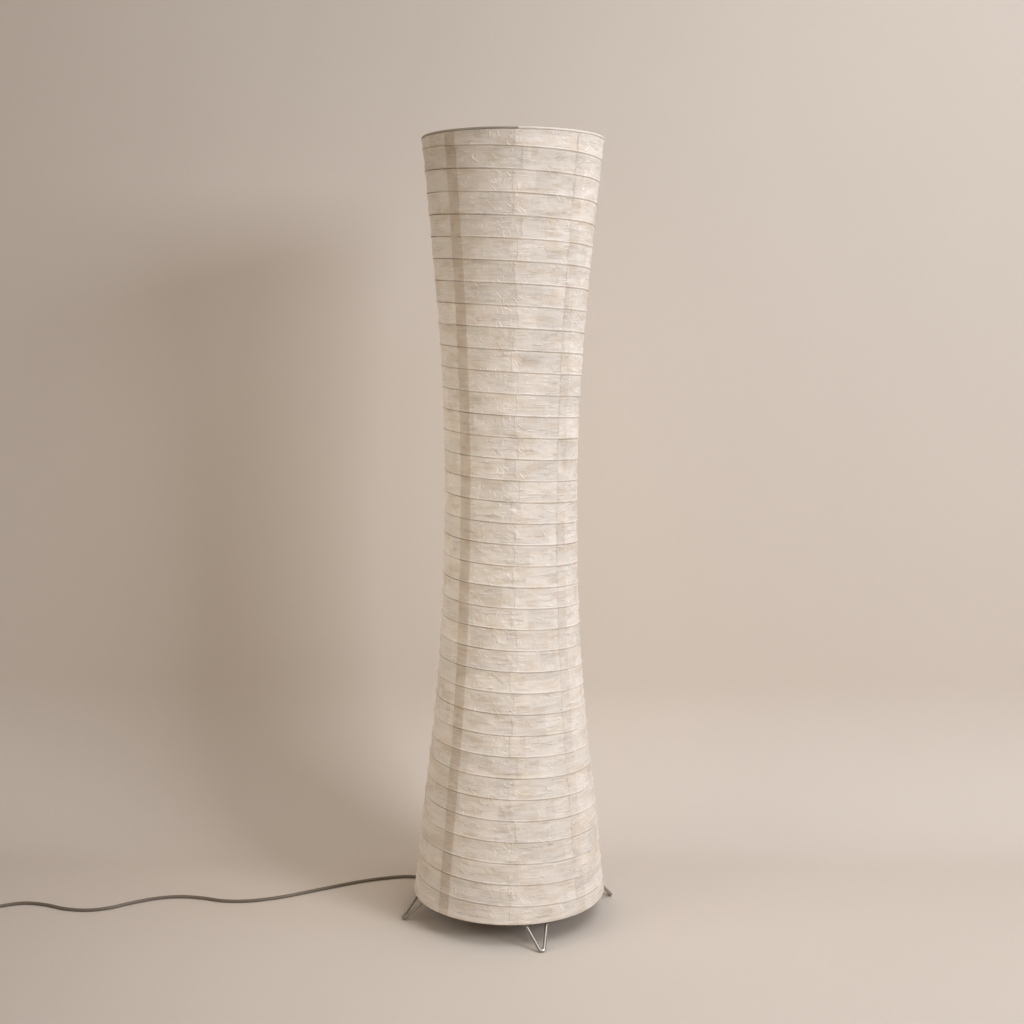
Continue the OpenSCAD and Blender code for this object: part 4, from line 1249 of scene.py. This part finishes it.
class LANTERN_OT_switch(bpy.types.Operator):
    """Finish the foot switch, the plug and the strain reliefs"""

    bl_idname = "lantern.switch"
    bl_label = "Foot switch and plug"

    def execute(self, context):
        nodes = frame["nodes"]
        # ABS moulded with a fine spark-eroded grain
        housing = moulded("grained_abs", "#7A7064", 0.5, 0.7, 0.05)
        dress(nodes["switch_base"], housing)
        dress(nodes["switch_mechanism"], moulded("black_phenolic", "#232323", 0.5, 0.8))
        self.cover(housing)
        # Moulded rubber: matt, with a fine grain
        self.reliefs(moulded("moulded_rubber", "#6E665B", 0.6, 1.0, 0.04))
        self.plug()
        self.tie()
        return {"FINISHED"}

    @staticmethod
    def cover(material):
        """The rounded upper shell of the foot switch and its dished button."""
        low, high = (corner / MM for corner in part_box("switch_cover"))
        centre = ((low.x + high.x) / 2, (low.y + high.y) / 2)
        half_x, half_y, corner = 22, 36, 14
        # Inset from the outline, height above the floor, and share of the button's round hole
        profile = [
            (2.0, 11.0, 0), (2.0, 19.4, 0), (0, 19.6, 13.1), (0, 21.2, 13.1), (0, 22.0, 13.9),
            (6.4, 22.0, 0), (4.4, 21.7, 0), (2.7, 20.9, 0), (1.3, 19.6, 0), (0.5, 18.0, 0),
            (0.1, 16.0, 0), (0.0, 14.0, 0), (0.0, 11.7, 0), (0.6, 11.0, 0),
        ]  # fmt: skip
        rows = []
        for inset, z, hole in profile:
            flat = circle(hole) if hole else outline(half_x - inset, half_y - inset, corner - inset)
            rows.append(level(flat, centre, z))
        skin("rounded_switch_cover", rows, material, "switch_cover", "switch_moulding", ring=True)
        low, high = (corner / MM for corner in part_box("switch_button"))
        top = high.z
        profile = [
            (12.2, low.z), (12.5, low.z + 0.4), (12.5, top - 1.2), (12.3, top - 0.5),
            (11.7, top - 0.1), (11.0, top), (10.2, top - 0.2), (8, top - 0.6), (4, top - 0.9),
            (0.5, top - 1.0),
        ]  # fmt: skip
        rows = [level(circle(r), centre, z) for r, z in profile]
        # Smoother ABS, worn to a satin shine by feet
        satin = moulded("satin_abs", "#8E8474", 0.4, 0.7)
        skin("dished_button", rows, satin, "switch_button", "switch_button", "switch_button")

    @staticmethod
    def reliefs(material):
        """The two ribbed sleeves where the cord enters and leaves the foot switch."""
        low, high = (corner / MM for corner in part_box("switch_reliefs"))
        shell_low, shell_high = (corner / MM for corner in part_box("switch_cover"))
        centre = ((low.x + high.x) / 2, (low.z + high.z) / 2)
        for side, tip, wall in (("in", high.y, shell_high.y), ("out", low.y, shell_low.y)):
            rows = [facing_back(circle(r), centre, y) for y, r in ribbed(tip, wall, 3.3, 4.6, 5)]
            inward = 1 if wall > tip else -1
            rows.append(facing_back(circle(3.7), centre, wall))
            rows.append(facing_back(circle(3.7), centre, wall + 5 * inward))
            skin(f"ribbed_relief_{side}", rows, material, "switch_reliefs", "relief_rubber")

    @staticmethod
    def plug():
        """A flat two-pin plug with a waisted, grooved grip and a ribbed tail."""
        low, high = (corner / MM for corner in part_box("plug_body"))
        centre = ((low.x + high.x) / 2, (low.z + high.z) / 2)
        start, back = low.y, high.y
        rows = [facing_back(circle(r), centre, y) for y, r in ribbed(start, start + 21, 3.4, 5, 6)]
        profile = [(22, 6.2, 5.4), (23.5, 10.5, 6.3), (26, 14.2, 6.75), (29, 16.2, 6.85)]
        # Grooves for the fingers along the waist
        for k in range(8):
            waist = 16.3 - 1.2 * math.sin(math.pi * (k + 0.5) / 8)
            profile += [(30 + 2.2 * k, waist, 6.85), (31.1 + 2.2 * k, waist, 6.85)]
            profile += [(31.4 + 2.2 * k, waist - 0.5, 6.3), (31.9 + 2.2 * k, waist - 0.5, 6.3)]
        profile += [(49, 16.9, 6.85), (52, 17.5, 6.85), (56.6, 17.5, 6.85), (57.4, 17.2, 6.55)]
        profile += [(58, 16.5, 5.9)]
        for y, half_x, half_z in profile:
            flat = outline(half_x, half_z, min(half_z, half_x) - 0.05)
            rows.append(facing_back(flat, centre, start + y))
        # Soft PVC moulded round the pins, a little glossier than the cord
        soft = moulded("moulded_soft_pvc", "#786D5F", 0.48, 0.9, 0.03)
        skin("grooved_plug", rows, soft, "plug_body", "plug_moulding")

    @staticmethod
    def tie():
        """A wire tie wound round the coil, its two ends twisted together."""
        low, high = (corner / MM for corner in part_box("coil_tie"))
        half_y, half_z = (high.y - low.y) / 2 - 0.6, (high.z - low.z) / 2 - 0.6
        centre = (low + high) / 2
        loop = outline(half_y, half_z, 3.5, 48)
        angle = TAU * (np.arange(48) + 0.5) / 48
        outward = np.stack([np.cos(angle), np.sin(angle)], -1)
        # Flat in section, thicker along its middle where the wire runs
        section = outline(3.2, 0.35, 0.34, 24)
        section[:, 1] += np.sign(section[:, 1]) * 0.25 * np.exp(-((section[:, 0] / 0.8) ** 2))
        rows = []
        for (y, z), (out_y, out_z) in zip(loop, outward):
            rows.append(np.column_stack([
                centre.x + section[:, 0],
                centre.y + y + out_y * section[:, 1],
                centre.z + z + out_z * section[:, 1],
            ]))  # fmt: skip
        black = moulded("black_pvc_tie", "#2B2A29", 0.45, 0.8)
        skin("wound_tie", rows, black, "coil_tie", "coil_tie", ring=True)
        rows = []
        for k, y in enumerate(np.linspace(low.y + 0.5, low.y - 8, 44)):
            turn = TAU * k / 19
            flat = outline(1.5, 0.8, 0.78, 24)
            cos, sin = math.cos(turn), math.sin(turn)
            spun = flat @ np.array([[cos, sin], [-sin, cos]])
            rows.append(facing_back(spun, (centre.x, centre.z), y))
        skin("twisted_tie_ends", rows, black, None, "coil_tie")


class LANTERN_OT_stage(bpy.types.Operator):
    """Make the floor, the backdrop, the lights and the world"""

    bl_idname = "lantern.stage"
    bl_label = "Stage"

    # The sweep runs from the floor up into the wall behind the lamp
    wall_y = 0.43
    sweep_radius = 0.25
    wall_top = 3.2
    half_width = 4.5
    # Where the floor begins and ends to fade, from the lamp's axis
    fade = (1.25, 2.4)
    # The world's light on the lamp, while the eye sees the backdrop's own colour
    world_strength = 0.33

    def execute(self, context):
        stage = context.scene.lantern_stage
        scene = context.scene
        scene.view_settings.view_transform = "Standard"
        self.backdrop(stage)
        self.lights()
        world = bpy.data.worlds.new("studio")
        world.use_nodes = True
        tree = world.node_tree
        seen = add(tree, "LightPath").outputs["Is Camera Ray"]
        tints = {0: seen, 6: opaque(stage.world), 7: opaque(stage.backdrop)}
        tint = add(tree, "Mix", tints, data_type="RGBA").outputs[2]
        dim = self.world_strength
        strength = add(tree, "Math", (seen, 1 - dim, dim), operation="MULTIPLY_ADD")
        feed(tree, tree.nodes["Background"], {"Color": tint, "Strength": strength})
        scene.world = world
        return {"FINISHED"}

    def backdrop(self, stage):
        """A paper sweep: floor, curve and wall. From behind, the wall lets the view through."""
        profile = [(-6.0, 0.0), (-3.0, 0.0), (-1.0, 0.0), (0.0, 0.0)]
        start = self.wall_y - self.sweep_radius
        for k in range(25):
            a = math.radians(90 * k / 24)
            bend = (math.sin(a), 1 - math.cos(a))
            profile.append((start + self.sweep_radius * bend[0], self.sweep_radius * bend[1]))
        profile += [(self.wall_y, 1.2), (self.wall_y, self.wall_top)]
        across = np.linspace(-self.half_width, self.half_width, 9)
        # A second floor goes on behind the wall, for views from behind
        floor = [(start, -0.0002), (1.5, -0.0002), (4.5, -0.0002)]
        points = [(x, y, z) for y, z in profile + floor for x in across]
        columns = len(across)
        further = grid_faces(len(floor), columns) + len(profile) * columns
        faces = np.vstack([grid_faces(len(profile), columns), further])
        # Matt background paper off a roll: even, with a very faint mottle
        material = clouded(
            "matt_background_paper", stage.backdrop, darker(stage.backdrop, 0.97),
            cloud=(400, 2), Roughness=0.95, Specular_IOR_Level=0.1,
        )  # fmt: skip
        tree = material.node_tree
        # Far from the lamp it fades into the plain colour behind it, for the eye alone
        place = add(tree, "TexCoord").outputs["Object"]
        flat = add(tree, "VectorMath", (place, (1, 1, 0)), operation="MULTIPLY")
        away = add(tree, "VectorMath", (flat,), operation="LENGTH").outputs["Value"]
        far = add(tree, "MapRange", (away, *self.fade), **EASED)
        far = masked(tree, far, add(tree, "LightPath").outputs["Is Camera Ray"])
        plain = add(tree, "Emission", (opaque(stage.backdrop),))
        paper = add(tree, "MixShader", (far, tree.nodes["Principled BSDF"], plain))
        behind = add(tree, "NewGeometry").outputs["Backfacing"]
        through = add(tree, "BsdfTransparent")
        both = add(tree, "MixShader", (behind, paper, through))
        feed(tree, tree.nodes["Material Output"], {"Surface": both})
        sweep = mesh_object("backdrop", points, faces, material)

    def lights(self):
        """A soft key from the right front, two softer ones above it and a weak left fill."""
        for name, place, aim, size, power, spread, tint in (
            ("key", (3.0, -2.4, 1.9), (0.3, 0.1, 0.6), 1.2, 19.2, 90, "#F4F8FF"),
            ("top", (1.1, -0.6, 2.8), (0.2, 0, 0), 1.6, 24.8, 180, "#E8F0FF"),
            ("front", (1.1, -1.5, 2.3), (0.3, -0.9, 0), 1.6, 4.9, 120, "#FFFFFF"),
            ("side", (-0.9, -0.5, 0.85), (0, 0, 0.5), 0.7, 1.1, 90, "#FFFAEF"),
        ):
            data = bpy.data.lights.new(name, "AREA")
            data.shape = "SQUARE"
            data.size = size
            data.energy = power
            data.spread = math.radians(spread)
            data.color = linear(tint)
            lamp = new_object(name, data)
            lamp.location = place
            towards = Vector(aim) - Vector(place)
            lamp.rotation_euler = towards.to_track_quat("-Z", "Y").to_euler()


class LANTERN_PT_panel(bpy.types.Panel):
    """Lists the lamp's operators and settings in the sidebar"""

    bl_idname = "LANTERN_PT_panel"
    bl_label = "Paper Lantern Floor Lamp"
    bl_space_type = "VIEW_3D"
    bl_region_type = "UI"
    bl_category = "Lantern"

    def draw(self, context):
        layout = self.layout
        for operator in OPERATORS:
            layout.operator(operator.bl_idname)
        for name, group in GROUPS.items():
            box = layout.box()
            for key in group.__annotations__:
                box.prop(getattr(context.scene, name), key)


OPERATORS = (
    LANTERN_OT_camera,
    LANTERN_OT_switch,
    LANTERN_OT_cord,
    LANTERN_OT_shade,
    LANTERN_OT_metal,
    LANTERN_OT_holder,
    LANTERN_OT_stage,
)
GROUPS = {
    "lantern_shade": ShadeSettings,
    "lantern_cord": CordSettings,
    "lantern_stage": StageSettings,
}
CLASSES = (*GROUPS.values(), *OPERATORS, LANTERN_PT_panel)


def register():
    for made in CLASSES:
        bpy.utils.register_class(made)
    for name, group in GROUPS.items():
        setattr(bpy.types.Scene, name, PointerProperty(type=group))


def unregister():
    for name in GROUPS:
        delattr(bpy.types.Scene, name)
    for made in reversed(CLASSES):
        bpy.utils.unregister_class(made)


def main():
    register()
    bpy.ops.lantern.camera()
    bpy.ops.lantern.switch()
    bpy.ops.lantern.cord()
    bpy.ops.lantern.shade()
    bpy.ops.lantern.metal()
    bpy.ops.lantern.holder()
    bpy.ops.lantern.stage()


if __name__ == "__main__":
    main()
